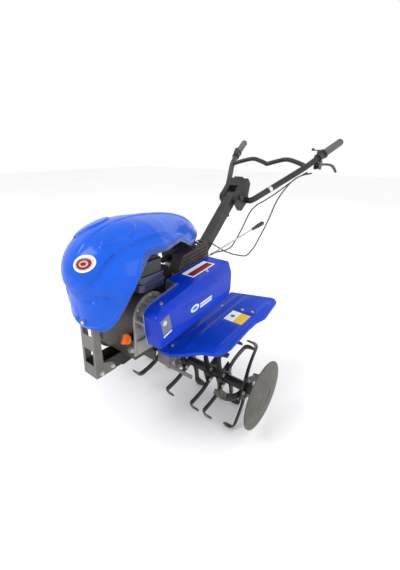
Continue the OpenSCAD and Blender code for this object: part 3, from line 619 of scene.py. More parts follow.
@dataclass(frozen=True)
class HoodFinish(Finish):
    """Glossy blue with painted shade on the rolled lip over the engine, where it turns darker and greyer.

    The lip is where the height over the hood's lower edge is small; the edge is
    the same sum of two smooth steps of y that shapes the hood.
    """

    def tint(self, shader: Shader) -> Any:
        """Blue, with painted shade on the rolled lip."""
        blue = Finish.tint(self, shader)
        along = shader.y - ROTOR_Y
        edge = along.step(-0.490, -0.330) * 0.234 - along.step(-0.160, -0.020) * 0.050 + 0.520
        off = shader.z - edge + (shader.noise(30.0, 4.0) - 0.5) * 0.010
        # Painted shade: near the lower edge the blue is mixed towards a darker, greyer blue.
        lip = off.step(0.020, 0.006) * along.step(-0.455, -0.380)
        return shader.mix(lip * 0.75, blue, (0.045, 0.075, 0.19))


@dataclass(frozen=True)
class GuardFinish(Finish):
    """Glossy deep blue with two long pressed grooves on the outer face.

    Each groove is where the distance to a slightly rising line in the YZ plane
    is small, and it ends at set distances along the line.
    """

    grooves: tuple[tuple[float, float, float, float], ...] = (
        (-0.262, -0.020, 0.5800, 0.055), (-0.255, -0.120, 0.5560, 0.055),
    )

    def relief(self, shader: Shader) -> Link:
        """Orange peel with the grooves sunk into it."""
        along = shader.y - ROTOR_Y
        face = shader.x.step(0.200, 0.203)
        height = shader.noise(self.skin_scale, 2.0, 0.5) * 0.03 + 0.9
        for start, end, level, slope in self.grooves:
            off = abs(shader.z - (along - start) * slope - level)
            run = along.step(start, start + 0.010) * along.step(end, end - 0.010)
            height = height - off.step(0.0065, 0.0020) * run * face * 0.85
        return height


WHITE = (0.86, 0.87, 0.88)
RED = (0.22, 0.012, 0.016)
PALE_BLUE = (0.62, 0.68, 0.84)
PALE_ROSE = (0.55, 0.50, 0.50)
NEAR_BLACK = (0.10, 0.10, 0.12)
OVAL = Outline.OVAL
HOOD_EMBLEM = (45, 740)
GUARD_SIDE = 0.18  # metres out from the middle, where the outer face starts
GUARD_TOP = 0.60

FENDER_PAINT = Finish(
    "fender_right", (0.0003, 0.044, 0.50), 0.26, coat=0.14, gloss=0.1,
    skin_scale=320, skin_depth=0.00004, tone=0.08, dust=0.02,
)
ALL_FINISHES: tuple[Finish, ...] = (
    Finish(
        "black_paint", (0.012, 0.012, 0.014), 0.36,
        coat=0.08, gloss=0.32, scuffs=0.2, dust=0.18,
    ),
    HoodFinish(
        "hood_blue", (0.0008, 0.088, 0.60), 0.24, coat=0.22, gloss=0.12,
        skin_scale=260, skin_depth=0.00003, tone=0.05, dust=0.02,
        marks=tuple(
            Mark("y", HOOD_EMBLEM, half, colour, 6.0, OVAL, 0.6)
            for half, colour in (
                ((33, 23), WHITE), ((29, 19.5), PALE_ROSE), ((23, 15), RED),
                ((14, 8.5), (0.50, 0.42, 0.42)), ((9, 5), RED),
            )
        ),
    ),
    GuardFinish(
        "guard_blue", (0.0003, 0.033, 0.46), 0.24, coat=0.16, gloss=0.1,
        skin_scale=320, skin_depth=0.0014, tone=0.08, dust=0.015,
        marks=(
            Mark("x", (-316, 533), (21, 28), (0.16, 0.17, 0.19), 16.0, lowest=GUARD_SIDE),
            Mark("x", (-322, 541), (9, 9), (0.55, 0.57, 0.60), 16.0, OVAL, GUARD_SIDE),
            Mark("x", (-308, 498), (20, 3.5), (0.62, 0.64, 0.68), 16.0, lowest=GUARD_SIDE),
            Mark("x", (-165, 534), (24, 13), PALE_BLUE, 6.0, OVAL, GUARD_SIDE),
            Mark("x", (-165, 534), (14, 6), (0.06, 0.12, 0.50), 6.0, OVAL, GUARD_SIDE),
            Mark("x", (-98, 541), (36, 4), PALE_BLUE, 6.0, lowest=GUARD_SIDE),
            Mark("x", (-98, 530), (36, 4), PALE_BLUE, 6.0, lowest=GUARD_SIDE),
            Mark("z", (140, -57), (26, 68), WHITE, lowest=GUARD_TOP),
            Mark("z", (146, -57), (14, 62), RED, lowest=GUARD_TOP),
        ),
    ),
    FENDER_PAINT,
    replace(
        FENDER_PAINT, name="fender_left",
        marks=(
            Mark("z", (222, 83), (20, 38), WHITE, lowest=0.39),
            Mark("z", (262, 83), (20, 38), (0.80, 0.52, 0.03), lowest=0.39),
            Mark("z", (222, 83), (9, 9), NEAR_BLACK, 0.0, OVAL, 0.39),
        ),
    ),
    Finish("grey_paint", (0.135, 0.130, 0.122), 0.45, gloss=0.35, coat=0.1, scuffs=0.15),
    CastFinish("cast_alloy", (0.36, 0.36, 0.345), 0.5, metal=0.55, skin_depth=0.00025, dust=0.25),
    CastFinish("olive_alloy", (0.060, 0.056, 0.045), 0.55, metal=0.3, skin_depth=0.0003, dust=0.3),
    Finish("zinc", (0.62, 0.61, 0.57), 0.3, metal=0.9, skin_scale=900, tone=0.1, dust=0.12),
    Finish("rubber", (0.02, 0.02, 0.021), 0.62, skin_depth=0.00012, dust=0.25),
    Finish(
        "dark_plastic", (0.022, 0.022, 0.024), 0.45,
        skin_scale=1100, skin_depth=0.00008, dust=0.15,
    ),
    Finish("navy_paint", (0.008, 0.011, 0.05), 0.3, coat=0.4, tone=0.2, dust=0.1),
    Finish("orange_plastic", (0.85, 0.16, 0.012), 0.38, dust=0.05),
    Finish("red_plastic", (0.55, 0.012, 0.01), 0.32, dust=0.05),
    CastFinish(
        "muffler_steel", (0.062, 0.052, 0.044), 0.6, metal=0.3, skin_depth=0.0002, dust=0.2
    ),
    WornSteelFinish(
        "tine_steel", (0.010, 0.010, 0.011), 0.42, metal=0.05, gloss=0.3,
        skin_scale=300, skin_depth=0.00012, dust=0.22, dust_colour=(0.20, 0.16, 0.12),
    ),
    Finish(
        "disc_paint", (0.072, 0.067, 0.060), 0.5, metal=0.05, gloss=0.3, skin_scale=260,
        skin_depth=0.0001, tone=0.14, dust=0.25, scuffs=0.15, scuff_colour=(0.12, 0.112, 0.10),
    ),
    RibbedRubberFinish("grip_rubber", (0.10, 0.10, 0.105), 0.6, skin_depth=0.0003, dust=0.12),
)
FINISHES: dict[str, Finish] = {finish.name: finish for finish in ALL_FINISHES}


class Paintbox:
    """Builds each finish once and hands it out."""

    def __init__(self) -> None:
        """Starts with no material made."""
        self._made: dict[str, bpy.types.Material] = {}

    def get(self, name: str) -> bpy.types.Material:
        """The material of that finish."""
        if name not in self._made:
            self._made[name] = FINISHES[name].build()
        return self._made[name]


PAINTS = Paintbox()


def shade(mesh: bpy.types.Mesh, angle: float) -> None:
    """Smooths a mesh but keeps edges sharper than angle, in degrees, crisp."""
    bm = bmesh.new()
    bm.from_mesh(mesh)
    limit = math.radians(angle)
    for f in bm.faces:
        f.smooth = True
    for e in bm.edges:
        e.smooth = not (e.is_manifold and e.calc_face_angle(0.0) > limit)
    bm.to_mesh(mesh)
    bm.free()


def settle(
    obj: bpy.types.Object, finish: str, nodes: Sequence[str], body: str | None = None
) -> bpy.types.Object:
    """Dresses a piece, hides the CAD nodes it stands for and rides it.

    Args:
        obj: The piece, in place.
        finish: Name of its finish.
        nodes: CAD nodes it replaces; the first gives its body.
        body: Another body to ride, or None for the first node's.

    Returns:
        The piece.
    """
    obj.data.materials.clear()
    obj.data.materials.append(PAINTS.get(finish))
    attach(obj, body or NODE_BODY[nodes[0]])
    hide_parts(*nodes)
    log.info("piece %s: %d faces", obj.name, len(obj.data.polygons))
    return obj


def form(name: str, surface: Surface, angle: float = 35.0) -> bpy.types.Object:
    """A mesh object from a surface.

    Args:
        name: The piece's name.
        surface: Its points and faces.
        angle: Edges sharper than this stay crisp.

    Returns:
        The linked object.
    """
    mesh = bpy.data.meshes.new(name)
    faces = [tuple(f) for part in surface.faces for f in part.tolist()]
    mesh.from_pydata(surface.points, [], faces)
    mesh.validate()
    obj = bpy.data.objects.new(name, mesh)
    bpy.context.scene.collection.objects.link(obj)
    bm = bmesh.new()
    bm.from_mesh(mesh)
    bmesh.ops.remove_doubles(bm, verts=bm.verts, dist=1e-6)
    bm.to_mesh(mesh)
    bm.free()
    shade(mesh, angle)
    return obj


def softened(node: str, finish: str, width: float = 0.0012, segments: int = 2) -> bpy.types.Object:
    """A copy of a CAD node with its points merged and its hard edges rounded.

    Args:
        node: The CAD node to copy and replace.
        finish: Name of its finish.
        width: Width of the rounding in metres.
        segments: Steps of the rounding.

    Returns:
        The piece.
    """
    mesh = NODES[node].data.copy()
    mesh.name = node + "_skin"
    bm = bmesh.new()
    bm.from_mesh(mesh)
    bmesh.ops.remove_doubles(bm, verts=bm.verts, dist=2e-6)
    bmesh.ops.dissolve_limit(
        bm, angle_limit=math.radians(0.6), verts=bm.verts, edges=bm.edges,
        use_dissolve_boundaries=False,
    )
    bm.to_mesh(mesh)
    bm.free()
    obj = bpy.data.objects.new(node + "_skin", mesh)
    bpy.context.scene.collection.objects.link(obj)
    shade(mesh, 28.0)
    rounding = obj.modifiers.new("rounding", "BEVEL")
    rounding.width = width
    rounding.segments = segments
    rounding.limit_method = "ANGLE"
    rounding.angle_limit = math.radians(32)
    rounding.use_clamp_overlap = True
    rounding.harden_normals = True
    return settle(obj, finish, [node])


@dataclass
class Hood:
    """The domed hood: a superellipse in plan under a superellipse dome."""

    middle: float = -262.0
    front: float = 250.3
    back: float = 387.0
    half_width: float = 186.0
    top: float = 836.0
    widest: float = 670.0
    low: float = 520.0
    taper: float = 0.12
    nose_power: float = 2.0
    tail_power: float = 1.15
    dome_power: float = 2.26
    wall: float = 3.5
    columns: int = 420
    rows: int = 150

    def edge(self, y: np.ndarray) -> np.ndarray:
        """Height of the lower edge, low at the nose and arched over the engine."""
        return self.low + 234 * smooth(-490, -330, y) - 50 * smooth(-160, -20, y)

    def skin(self, inset: float) -> np.ndarray:
        """Points of the plain hood.

        The plan is |x/w| to the power p plus |y/l| to the power p equals 1, with
        its own p ahead of and behind the middle. At height z it shrinks by the
        dome's share above the widest line, and tapers gently below it.

        Args:
            inset: Distance inside the outer face, in millimetres.

        Returns:
            Points in millimetres, shape (rows + 1, columns, 3).
        """
        a = np.linspace(0, 2 * np.pi, self.columns, endpoint=False)[None, :]
        f = np.linspace(0, 1, self.rows + 1)[:, None]
        ahead = np.sin(a) < 0
        power = np.where(ahead, self.nose_power, self.tail_power)
        reach = np.where(ahead, self.front, self.back) - inset
        cx = np.sign(np.cos(a)) * np.abs(np.cos(a)) ** (2 / power)
        sy = np.sign(np.sin(a)) * np.abs(np.sin(a)) ** (2 / power)
        top = self.top - inset
        edge = self.edge(self.middle + reach * sy)
        z = edge + (top - edge) * (1 - f**2.0)
        above = np.clip((z - self.widest) / (top - self.widest), 0, 1)
        dome = (1 - above**self.dome_power) ** (1 / self.dome_power)
        skirt = 1 - self.taper * (self.widest - z) / (self.widest - self.low)
        share = np.where(z > self.widest, dome, skirt)
        return np.stack(
            [
                (self.half_width - inset) * share * cx,
                self.middle + reach * share * sy,
                np.broadcast_to(z, share.shape),
            ],
            axis=-1,
        )

    def relief(self, p: np.ndarray) -> np.ndarray:
        """How far each outer point stands off the plain hood, in millimetres.

        A teardrop panel on each side of the top stands proud, the flank steps
        in under a character line that falls from the top to the nose, a
        pointed dent lies over each front corner, a shallow spine runs down the
        middle, and the lower edge rolls outward.
        """
        x, y, z = np.abs(p[..., 0]), p[..., 1], p[..., 2]
        width = 44 - 26 * smooth(-350, -440, y)
        tear = np.hypot((x - 60 - 6 * smooth(-380, -440, y)) / width, (y + 372) / 66)
        panel = 5.4 * smooth(1.05, 0.90, tear) * smooth(730, 770, z)
        line = np.interp(x, [0, 47, 86, 96, 103, 125, 170], [634, 674, 718, 744, 772, 800, 806])
        under = (line - z) * smooth(-180, -330, y)
        flank = -6.5 * smooth(-2, 6, under) * smooth(120, 30, under)
        u = (x - 74) / 46
        point = np.abs(u) + ((z - 634 - 14 * u) / 13) ** 2
        dent = -5.0 * smooth(1.0, 0.60, point) * smooth(-430, -450, y)
        spine = 2.2 * smooth(17, 9, x) * smooth(745, 800, z)
        off = z - self.edge(y)
        lip = 3.6 * smooth(26, 17, off) - 3.4 * smooth(9, 2, off)
        return panel + flank + dent + spine + lip

    def surface(self) -> Surface:
        """The shell: outer dome, inner dome and the turned edge that joins them."""
        outer = self.skin(0.0)
        du = np.roll(outer, -1, axis=1) - np.roll(outer, 1, axis=1)
        dv = np.gradient(outer, axis=0)
        normal = np.cross(du, dv)
        normal /= np.linalg.norm(normal, axis=-1)[..., None] + 1e-9
        centre = np.array([0.0, self.middle, 640.0])
        normal *= np.sign(((outer - centre) * normal).sum(-1))[..., None]
        outer = outer + normal * self.relief(outer)[..., None]
        outer[0] = outer[0].mean(0)
        inner = self.skin(self.wall + 5.0)[::-1]
        inner[-1] = inner[-1].mean(0)
        rim = 0.5 * (outer[-1:] + inner[:1]) - np.array([0, 0, 1.2])
        loop = np.concatenate([outer, rim, inner], axis=0)
        points = place(loop.reshape(-1, 3)).reshape(loop.shape)
        return Surface.grid(points, round_v=True).outward()

    def build(self) -> None:
        """Makes the hood and dresses it."""
        obj = form("hood_shell", self.surface(), 40.0)
        bm = bmesh.new()
        bm.from_mesh(obj.data)
        bmesh.ops.remove_doubles(bm, verts=bm.verts, dist=1e-5)
        bmesh.ops.recalc_face_normals(bm, faces=bm.faces)
        bm.to_mesh(obj.data)
        bm.free()
        settle(obj, "hood_blue", ["hood"])


@dataclass
class Fender:
    """A pressed fender: a ruled sheet with flutes and a rounded, turned-down rim."""

    lean: float = 5.4
    height: float = 402.0
    lip: float = 12.0
    sheet: float = 2.2
    rim: float = 4.5
    y_marks: tuple[float, ...] = (
        -262, -256, -232, -182, -162, -132, -97, 41, 102, 150, 172, 288, 308, 309,
    )
    x_marks: tuple[float, ...] = (
        145, 176, 208, 256, 300, 316, 322, 316, 318, 330, 329, 316, 300, 290,
    )

    def top(self, x: np.ndarray, y: np.ndarray) -> np.ndarray:
        """Height of the pressing above its plane: three long rounded flutes."""
        ends = smooth(-225, -185, y) * smooth(275, 235, y)
        ridges = sum(np.exp(-(((x - c) / 9.0) ** 2)) for c in (158, 196, 292))
        pad = smooth(1.08, 0.94, np.maximum(np.abs(x - 243) / 46, np.abs(y - 84) / 50))
        return 3.2 * ends * ridges * (1 - pad) - 0.9 * pad

    def surface(self) -> Surface:
        """A closed strip: the top from inner to outer edge, the rim, the underside."""
        y = np.linspace(self.y_marks[0], self.y_marks[-1], 190)[:, None]
        outer = np.interp(y, self.y_marks, self.x_marks)
        inner = np.where(y > 254, 115 + (y - 254) * 3.1, 115.0)
        inner = np.minimum(inner, outer - 4)
        u = np.linspace(0, 1, 90)[None, :]
        x = inner + (outer - self.rim - inner) * u
        z = self.top(x, y)
        turn = np.linspace(0, np.pi / 2, 6)[None, 1:]
        rim_x = outer - self.rim + self.rim * np.sin(turn)
        rim_z = self.rim * np.cos(turn) - self.rim + 0 * y
        drop = np.linspace(-self.rim, -self.lip, 4)[None, 1:] + 0 * y
        above_x = [x, rim_x, outer + 0 * drop]
        above_z = [z, rim_z, drop]
        below_x = [x, rim_x - self.sheet * np.sin(turn), outer - self.sheet + 0 * drop]
        below_z = [z - self.sheet, rim_z - self.sheet * np.cos(turn), drop]
        loop_x, loop_z = (
            np.concatenate([*above, np.concatenate(below, axis=1)[:, ::-1]], axis=1)
            for above, below in ((above_x, below_x), (above_z, below_z))
        )
        loop_y = np.broadcast_to(y, loop_x.shape)
        c, s = math.cos(math.radians(self.lean)), math.sin(math.radians(self.lean))
        points = np.stack(
            [loop_x, loop_y * c - loop_z * s, self.height + loop_y * s + loop_z * c], axis=-1
        )
        rows = place(points.reshape(-1, 3)).reshape(points.shape)
        return Surface.grid(rows, round_v=True, caps=True).outward()

    def build(self) -> None:
        """Makes both fenders."""
        left = self.surface()
        settle(form("fender_left_sheet", left, 30.0), "fender_left", ["fender_left"])
        settle(form("fender_right_sheet", left.mirrored(), 30.0), "fender_right", ["fender_right"])


@dataclass
class Rotor:
    """Tines with bent tips, their flanges and bolts, and the two plant discs."""

    reach: float = 180.0
    root: float = 26.0
    thick: float = 7.0
    tip: float = 45.0
    bow: float = 17.0
    hidden: float = 3.6
    stations: tuple[tuple[float, int, float], ...] = (
        (66, 1, 22.5), (190, 1, 22.5), (250, 1, 22.5), (352, -1, -22.5),
    )
    flange: float = 6.0
    disc_x: float = 421.0
    disc_r: float = 138.0

    def blade(self, x: float, bend: int) -> Surface:
        """One tine pointing along +Y from the axle, in millimetres.

        Its centre line runs out along the radius, swept back near the hub, then
        turns sideways round an arc and ends in a tip that lies along the axle.
        The section is a flat bar with softened edges and a thin trailing side.
        """
        s = np.linspace(0, 1, 46)
        bow = self.bow
        straight = self.reach - self.hidden - bow - self.root
        arc = 0.5 * np.pi * bow
        total = straight + arc + self.tip - bow - self.thick / 2
        d = s * total
        angle = np.clip((d - straight) / bow, 0, np.pi / 2)
        radial = self.root + np.minimum(d, straight) + bow * np.sin(angle)
        side = bow * (1 - np.cos(angle)) + np.maximum(d - straight - arc, 0)
        lead = (radial - self.root) / (self.reach - self.root)
        turn = np.radians(30.0 * (1 - np.clip(lead, 0, 1)) ** 1.4 + 1.5)
        half = 17.5 - 3.2 * s - 4.5 * smooth(0.86, 1.0, s)
        section = np.linspace(0, 2 * np.pi, 16, endpoint=False)
        across = np.sign(np.cos(section)) * np.abs(np.cos(section)) ** 0.5
        through = np.sign(np.sin(section)) * np.abs(np.sin(section)) ** 0.7
        thin = self.thick / 2 * (1 - 0.45 * smooth(0.2, 1.0, across))
        t = across[None, :] * half[:, None]
        n = through[None, :] * thin[None, :]
        r = radial[:, None] + n * np.sin(angle)[:, None]
        w = x + bend * (side[:, None] - n * np.cos(angle)[:, None])
        c, q = np.cos(turn)[:, None], np.sin(turn)[:, None]
        points = np.stack([w, r * c - t * q, r * q + t * c], axis=-1)
        return Surface.grid(points, round_v=True, caps=True).outward()

    def turned(self, part: Surface, degrees: float) -> Surface:
        """The part turned about the axle and put in the row frame."""
        a = math.radians(degrees)
        turn = np.array([[1, 0, 0], [0, math.cos(a), -math.sin(a)], [0, math.sin(a), math.cos(a)]])
        return part.moved(turn / 1000.0, AXLE)

    def tines(self) -> Surface:
        """All tines of both sides."""
        parts = []
        for x, bend, phase in self.stations:
            base = x + self.flange + self.thick / 2 if bend > 0 else x - self.thick / 2
            blade = self.blade(base, bend)
            for quarter in range(4):
                parts.append(self.turned(blade, phase + 90 * quarter))
        return Surface.together(parts + [p.mirrored() for p in parts])

    def discs(self) -> Surface:
        """Dished discs with a raised ring, a rolled rim, a pressed centre and a hub."""
        r = np.linspace(0.4, self.disc_r - 3.0, 90)
        dome = self.disc_x + 15 - r**2 / 1290.0
        ring = 0.7 * np.exp(-(((r - 78) / 5.0) ** 2)) - 3.0 * smooth(40, 33, r)
        face = dome + np.minimum(ring, self.disc_x + 14.6 - dome) - 0.4
        roll = np.linspace(0, 1.5 * np.pi, 14)
        rim_x = face[-1] - 3.0 + 3.0 * np.cos(roll)
        rim_r = self.disc_r - 3.0 + 3.0 * np.sin(roll)
        back = np.stack([face[::-1] - 2.6, r[::-1]], axis=-1)[4:]
        loop = np.vstack([np.stack([face, r], axis=-1), np.stack([rim_x, rim_r], axis=-1), back])
        hub = np.array([[-40, 0.4], [-40, 25], [-38, 27], [6, 27], [8, 25], [8, 0.4]], float)
        hub[:, 0] += self.disc_x
        parts = []
        for profile, count in ((loop, 120), (hub, 48)):
            parts.append(revolve(profile / 1000.0, AXLE, (1, 0, 0), count))
        return Surface.together(parts + [p.mirrored() for p in parts])

    def hardware(self) -> Surface:
        """Hexagon bolts with washers that clamp each tine to its flange."""
        head = np.array(
            [[0, 0.1], [0, 8], [1.3, 8], [1.3, 6.9], [5.2, 6.9], [6, 6.1], [6, 0.1]]
        ) / 1000.0
        parts = []
        turn = np.radians(22.0)
        for x, bend, phase in self.stations:
            for quarter in range(4):
                a = math.radians(phase + 90 * quarter) + turn
                at = AXLE + np.array([0, 0.036 * math.cos(a), 0.036 * math.sin(a)])
                far = x + self.flange + self.thick if bend > 0 else x + self.flange
                near = x if bend > 0 else x - self.thick
                for start, way in ((far, 1.0), (near, -1.0)):
                    c = at + np.array([start / 1000.0, 0, 0])
                    parts.append(revolve(head[:3], c, (way, 0, 0), 20))
                    parts.append(revolve(head, c, (way, 0, 0), 6))
        return Surface.together(parts + [p.mirrored() for p in parts])

    def build(self) -> None:
        """Makes the rotor's pieces."""
        settle(form("tine_blades", self.tines(), 50.0), "tine_steel", ["tines"])
        settle(form("plant_disc_pair", self.discs(), 40.0), "disc_paint", ["plant_discs"])
        settle(form("tine_bolts", self.hardware(), 30.0), "zinc", ["rotor_bolts"])
        softened("tine_flanges", "black_paint", 0.001)
        softened("rotor_shaft", "black_paint", 0.0012)


@dataclass
class Handlebar:
    """The T-shaped handlebar with grips, levers, collars and control cables."""

    bar_r: float = 14.0
    cross_r: float = 10.8
    cable_r: float = 2.9
    ferrule_r: float = 3.8
    root: tuple[float, float, float] = (46.0, 452.0, 812.0)
    bend: tuple[float, float, float] = (68.0, 452.0, 812.0)
    middle: tuple[float, float, float] = (202.0, 721.0, 956.0)
    top: tuple[float, float, float] = (235.0, 828.0, 1011.0)
    tip: tuple[float, float, float] = (269.0, 968.0, 1070.0)
    side: tuple[float, float, float] = (0.0, -0.43, 0.90)
    cross: tuple[tuple[float, float, float], ...] = (
        (199, 722, 958), (150, 735, 974), (93, 747, 986), (45, 738, 977), (0, 725, 963),
    )
    lever: tuple[tuple[float, float, float], ...] = (
        (0, 0, 0), (0, 14, 4), (8, 74, 8), (24, 150, -2), (34, 208, -38),
    )
    throttle_route: tuple[tuple[float, float, float], ...] = (
        (213, 776, 924), (200, 650, 915), (188, 570, 885), (170, 505, 820), (155, 488, 755),
        (145, 469, 703), (130, 445, 643), (122, 427, 608), (112, 402, 580), (102, 383, 567),
        (90, 353, 573), (70, 315, 585), (46, 282, 602), (36, 231, 632), (31, 172, 666),
        (29, 130, 688),
    )
    clutch_route: tuple[tuple[float, float, float], ...] = (
        (199, 757, 928), (170, 690, 900), (130, 600, 845), (95, 530, 805), (78, 500, 790),
        (68, 462, 765), (62, 439, 733), (54, 425, 695), (46, 402, 655), (48, 368, 630),
        (56, 320, 615), (68, 246, 618), (82, 150, 634), (92, 96, 640),
    )

    def axis(self) -> np.ndarray:
        """Direction of the left grip, as a unit vector."""
        d = np.subtract(self.tip, self.top)
        return d / np.linalg.norm(d)

    def bars(self) -> Surface:
        """Both bars, each one bent tube with a domed plug at its end."""
        end = np.array(self.tip) - 8 * self.axis()
        path = bent(place([self.root, self.bend, self.middle, self.top, end]), 0.030)
        bar = sweep(path, self.bar_r / 1000, self.side, count=32)
        return Surface.together([bar, bar.mirrored()])

    def collars(self) -> Surface:
        """A clamping ring on each lower bar."""
        d = np.subtract(self.middle, self.bend)
        start = place([np.array(self.bend) + 0.30 * d])[0]
        length = 0.05 * np.linalg.norm(d) / 1000
        r = self.bar_r / 1000
        ring = np.array(
            [[0, r], [0, r + 0.0012], [0.001, r + 0.002], [length - 0.001, r + 0.002],
             [length, r + 0.0012], [length, r]]
        )
        collar = revolve(ring, start, d, 40)
        return Surface.together([collar, collar.mirrored()])

    def grip(self) -> Surface:
        """One grip: a flange, rounded rings along the hand, and a domed end.

        The radius along the grip is a base plus the square root of a raised
        sine, so the rings are round on top with narrow valleys between them.
        """
        length = float(np.linalg.norm(np.subtract(self.tip, self.top))) - 4.0
        s = np.linspace(9, length - 10, 230)
        ends = smooth(9, 14, s) * smooth(length - 10, length - 15, s)
        rings = 1.5 * np.sqrt(np.abs(np.sin(np.pi * (s - 9) / 7.6))) * ends
        palm = 0.6 * np.sin(np.pi * (s - 9) / (length - 19))
        body = np.stack([s, 16.0 + rings + palm * 0.5], axis=-1)
        cap = np.linspace(0, np.pi / 2, 12)[:-1]
        dome = np.stack([length - 10 + 10 * np.sin(cap), 0.2 + 17.3 * np.cos(cap) ** 0.6], axis=-1)
        start = np.array(
            [[0, 14.2], [0, 21.6], [1.2, 23], [3.8, 23], [5, 21.8], [5.6, 18.2], [8, 16.6]]
        )
        close = np.array([[length, 0.2], [length - 8, 0.2], [length - 8, 14.2]])
        loop = np.vstack([start, body, dome, close]) / 1000.0
        at = place([np.array(self.top) + 4 * self.axis()])[0]
        return revolve(loop, at, self.axis(), 48)

    def clutch(self) -> Surface:
        """The clutch lever: an oval bar that swells at the fingers, on its pin."""
        clamp = np.array(self.middle) + 0.78 * np.subtract(self.top, self.middle)
        pivot = clamp + np.array([0, 6, -44.0])
        path = curve(place(pivot + np.array(self.lever, float)), 14)
        s = np.linspace(0, 1, len(path))
        swell = 6.2 + 2.0 * smooth(0.25, 0.5, s) * smooth(1.0, 0.7, s)
        radius = 0.001 * swell * np.sqrt(np.clip(1.0005 - smooth(0.93, 1.0, s) ** 2, 0.02, 1))
        bar = sweep(path, radius, (1, 0, 0), 0.72, 24)
        at = place([pivot])[0]
        parts = [bar]
        for half, hole, r, edge, count in ((7.5, 4.2, 10.0, 0.6, 36), (13.0, 0.2, 4.0, 0.4, 24)):
            rod = np.array(
                [[-half, hole], [-half, r - edge], [edge - half, r],
                 [half - edge, r], [half, r - edge], [half, hole]]
            )
            parts.append(revolve(rod / 1000, at, (1, 0, 0), count))
        return Surface.together(parts)

    def cable(self, name: str, route: Sequence[Sequence[float]], nodes: Sequence[str]) -> None:
        """A control cable that bends between the frame and the handlebar.

        Args:
            name: The piece's name.
            route: Points along it, from the lever down.
            nodes: Its two CAD lengths.
        """
        points = place(route)
        path = curve(points, 10)
        parts = [sweep(path, self.cable_r / 1000, (1, 0, 0), count=14)]
        for end, inner in ((0, 4), (len(path) - 1, len(path) - 5)):
            ferrule = np.linspace(path[end], path[inner], 5)
            parts.append(sweep(ferrule, self.ferrule_r / 1000, (1, 0, 0), count=14))
        obj = form(name, Surface.together(parts), 50.0)
        obj.data.materials.append(PAINTS.get("rubber"))
        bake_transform(obj)
        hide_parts(*nodes)
        log.info("cable %s: %d points", name, len(path))

    def knob(self) -> Surface:
        """The shift knob: a long handle that swells towards its round end."""
        low, high = np.array([37.0, 100, 596]), np.array([66.0, 500, 668])
        d = (high - low) / np.linalg.norm(high - low)
        s = np.linspace(0, 1, 40)
        end = np.sqrt(np.clip(1 - smooth(0.86, 1.0, s) ** 2.2, 0, 1))
        ripple = 0.5 * np.sin(s * 60) * smooth(0.2, 0.3, s) * smooth(0.8, 0.7, s)
        r = (7.0 + 3.4 * smooth(0.05, 0.6, s) + ripple) * np.maximum(end, 0.03)
        loop = np.vstack([[[0.1, 0.2]], np.stack([0.1 + 104 * s, r], axis=-1)]) / 1000
        return revolve(loop, place([high])[0], d, 32)

    def build(self) -> None:
        """Makes the handlebar's pieces."""
        half = curve(place(self.cross), 10)
        bar = np.vstack([half, half[-2::-1] * np.array([-1.0, 1.0, 1.0])])
        cross = sweep(bar, self.cross_r / 1000, (0, 0, 1), count=28)
        left = self.grip()
        settle(form("handlebar_tubes", self.bars(), 50.0), "black_paint", ["handlebars"])
        clamp = form("bar_collars", self.collars(), 30.0)
        clamp.data.materials.append(PAINTS.get("zinc"))
        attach(clamp, "handlebar")
        for name, surface, angle, finish, node in (
            ("cross_tube", cross, 50.0, "black_paint", "cross_bar"),
            ("grip_pair", Surface.together([left, left.mirrored()]), 40.0, "grip_rubber", "grips"),
            ("clutch_bail", self.clutch(), 45.0, "dark_plastic", "clutch_lever"),
            ("shift_handle", self.knob(), 45.0, "dark_plastic", "shift_knob"),
        ):
            settle(form(name, surface, angle), finish, [node])
        for name, route in (
            ("throttle_cable", self.throttle_route), ("clutch_cable", self.clutch_route)
        ):
            self.cable(name, route, [name + "_upper", name + "_lower"])
        softened("handle_head", "black_paint", 0.0022, 3)
        for node, width in (
            ("lever_clamps", 0.001), ("lock_lever", 0.0015), ("throttle_lever", 0.001)
        ):
            softened(node, "dark_plastic", width)


@dataclass
class Body:
    """Frame, engine, guard and gearbox: CAD shapes with rounded edges."""

    roundings: tuple[tuple[str, float], ...] = (
        ("engine_frame", 0.0015), ("front_bumper", 0.0012), ("crankcase", 0.003),
        ("crankcase_cover", 0.002), ("cylinder_block", 0.0008), ("cylinder_head", 0.0012),
        ("valve_cover", 0.003), ("blower_housing", 0.0025), ("recoil_cover", 0.002),
        ("fuel_tank", 0.005), ("carburettor", 0.0012), ("air_cleaner", 0.003),
        ("muffler", 0.0015), ("muffler_guard", 0.0015), ("gearbox_left", 0.0035),
        ("gearbox_right", 0.0035), ("belt_guard", 0.0045), ("guard_backplate", 0.0005),
        ("fender_brackets", 0.001), ("hitch_bracket", 0.0015), ("handle_column", 0.003),
        ("fuel_cap", 0.0015), ("oil_cap", 0.0012), ("recoil_grip", 0.0012),
    )

    def build(self) -> None:
        """Rounds each piece, then dresses what is left of the CAD model."""
        for node, width in self.roundings:
            softened(node, NODE_SLOTS[node], width)
        for node, obj in NODES.items():
            if obj.hide_render:
                continue
            finish = NODE_SLOTS[node]
            obj.data.materials.clear()
            obj.data.materials.append(PAINTS.get(finish))
            log.info("CAD piece %s: %s", node, finish)


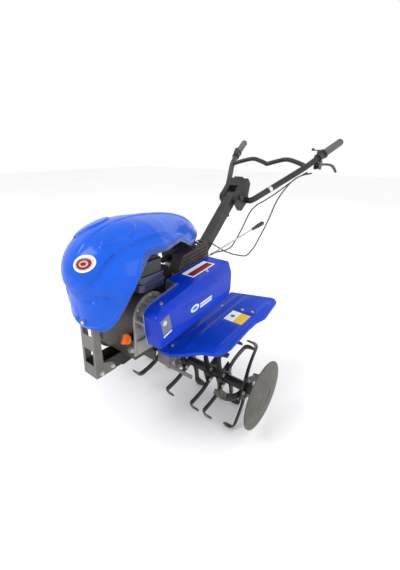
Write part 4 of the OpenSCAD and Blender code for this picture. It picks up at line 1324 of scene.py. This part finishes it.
@dataclass
class Studio:
    """A pale floor, soft lights and the camera."""

    azimuth: float = 41.82
    elevation: float = 22.41
    eye: tuple[float, float, float] = (772.17, -983.19, 1040.82)
    lens: float = 323.14 * 36.0 / 570.0
    shift: tuple[float, float] = (0.0724, -0.00686)

    def floor(self) -> None:
        """A broad pale floor with a faint mottle."""
        u = np.linspace(-14, 14, 3)
        grid = np.stack([*np.meshgrid(u, u, indexing="ij"), np.zeros((3, 3))], axis=-1)
        obj = form("floor", Surface.grid(grid))
        s = Shader("floor_paint")
        tone = s.mix(s.noise(0.8, 2.0).step(0.3, 0.7), (0.93, 0.93, 0.93), (0.95, 0.95, 0.95))
        obj.data.materials.append(s.done(tone, 0.75))

    def lights(self) -> None:
        """Three soft panels and a pale sky."""
        target = Vector((0.0, -0.1, 0.55))
        for name, spot, size, power in (
            ("key", (-1.6, -3.4, 4.2), 2.2, 110.0),
            ("side", (4.4, -0.6, 2.6), 3.0, 55.0),
            ("back", (0.6, 4.2, 3.6), 3.0, 10.0),
        ):
            light = bpy.data.lights.new(name, "AREA")
            light.size = size
            light.energy = power
            obj = bpy.data.objects.new(name, light)
            bpy.context.scene.collection.objects.link(obj)
            obj.location = spot
            obj.rotation_euler = (target - Vector(spot)).to_track_quat("-Z", "Y").to_euler()
        world = bpy.data.worlds.new("studio")
        bpy.context.scene.world = world
        world.use_nodes = True
        sky = world.node_tree.nodes["Background"]
        sky.inputs["Color"].default_value = (1.0, 1.0, 1.0, 1.0)
        sky.inputs["Strength"].default_value = 1.0

    def camera(self) -> None:
        """The camera, level with the horizon."""
        a, e = math.radians(self.azimuth), math.radians(self.elevation)
        back = Vector((math.sin(a) * math.cos(e), -math.cos(a) * math.cos(e), math.sin(e)))
        right = Vector((math.cos(a), math.sin(a), 0.0))
        up = back.cross(right)
        data = bpy.data.cameras.new("camera")
        data.sensor_width = 36.0
        data.lens = self.lens
        data.shift_x, data.shift_y = self.shift
        data.clip_end = 60.0
        obj = bpy.data.objects.new("camera", data)
        bpy.context.scene.collection.objects.link(obj)
        turn = Matrix((right, up, back)).transposed().to_4x4()
        turn.translation = Vector(place([self.eye])[0])
        obj.matrix_world = turn
        bpy.context.scene.camera = obj

    def build(self) -> None:
        """Sets the stage."""
        self.floor()
        self.lights()
        self.camera()
        bpy.context.scene.view_settings.view_transform = "Standard"


def main() -> None:
    """Builds the studio and each sub-assembly."""
    logging.basicConfig(level=logging.INFO, format="%(name)s: %(message)s")
    for part in (Studio(), Hood(), Fender(), Rotor(), Handlebar(), Body()):
        log.info("building %s", type(part).__name__)
        part.build()


if __name__ == "__main__":
    main()
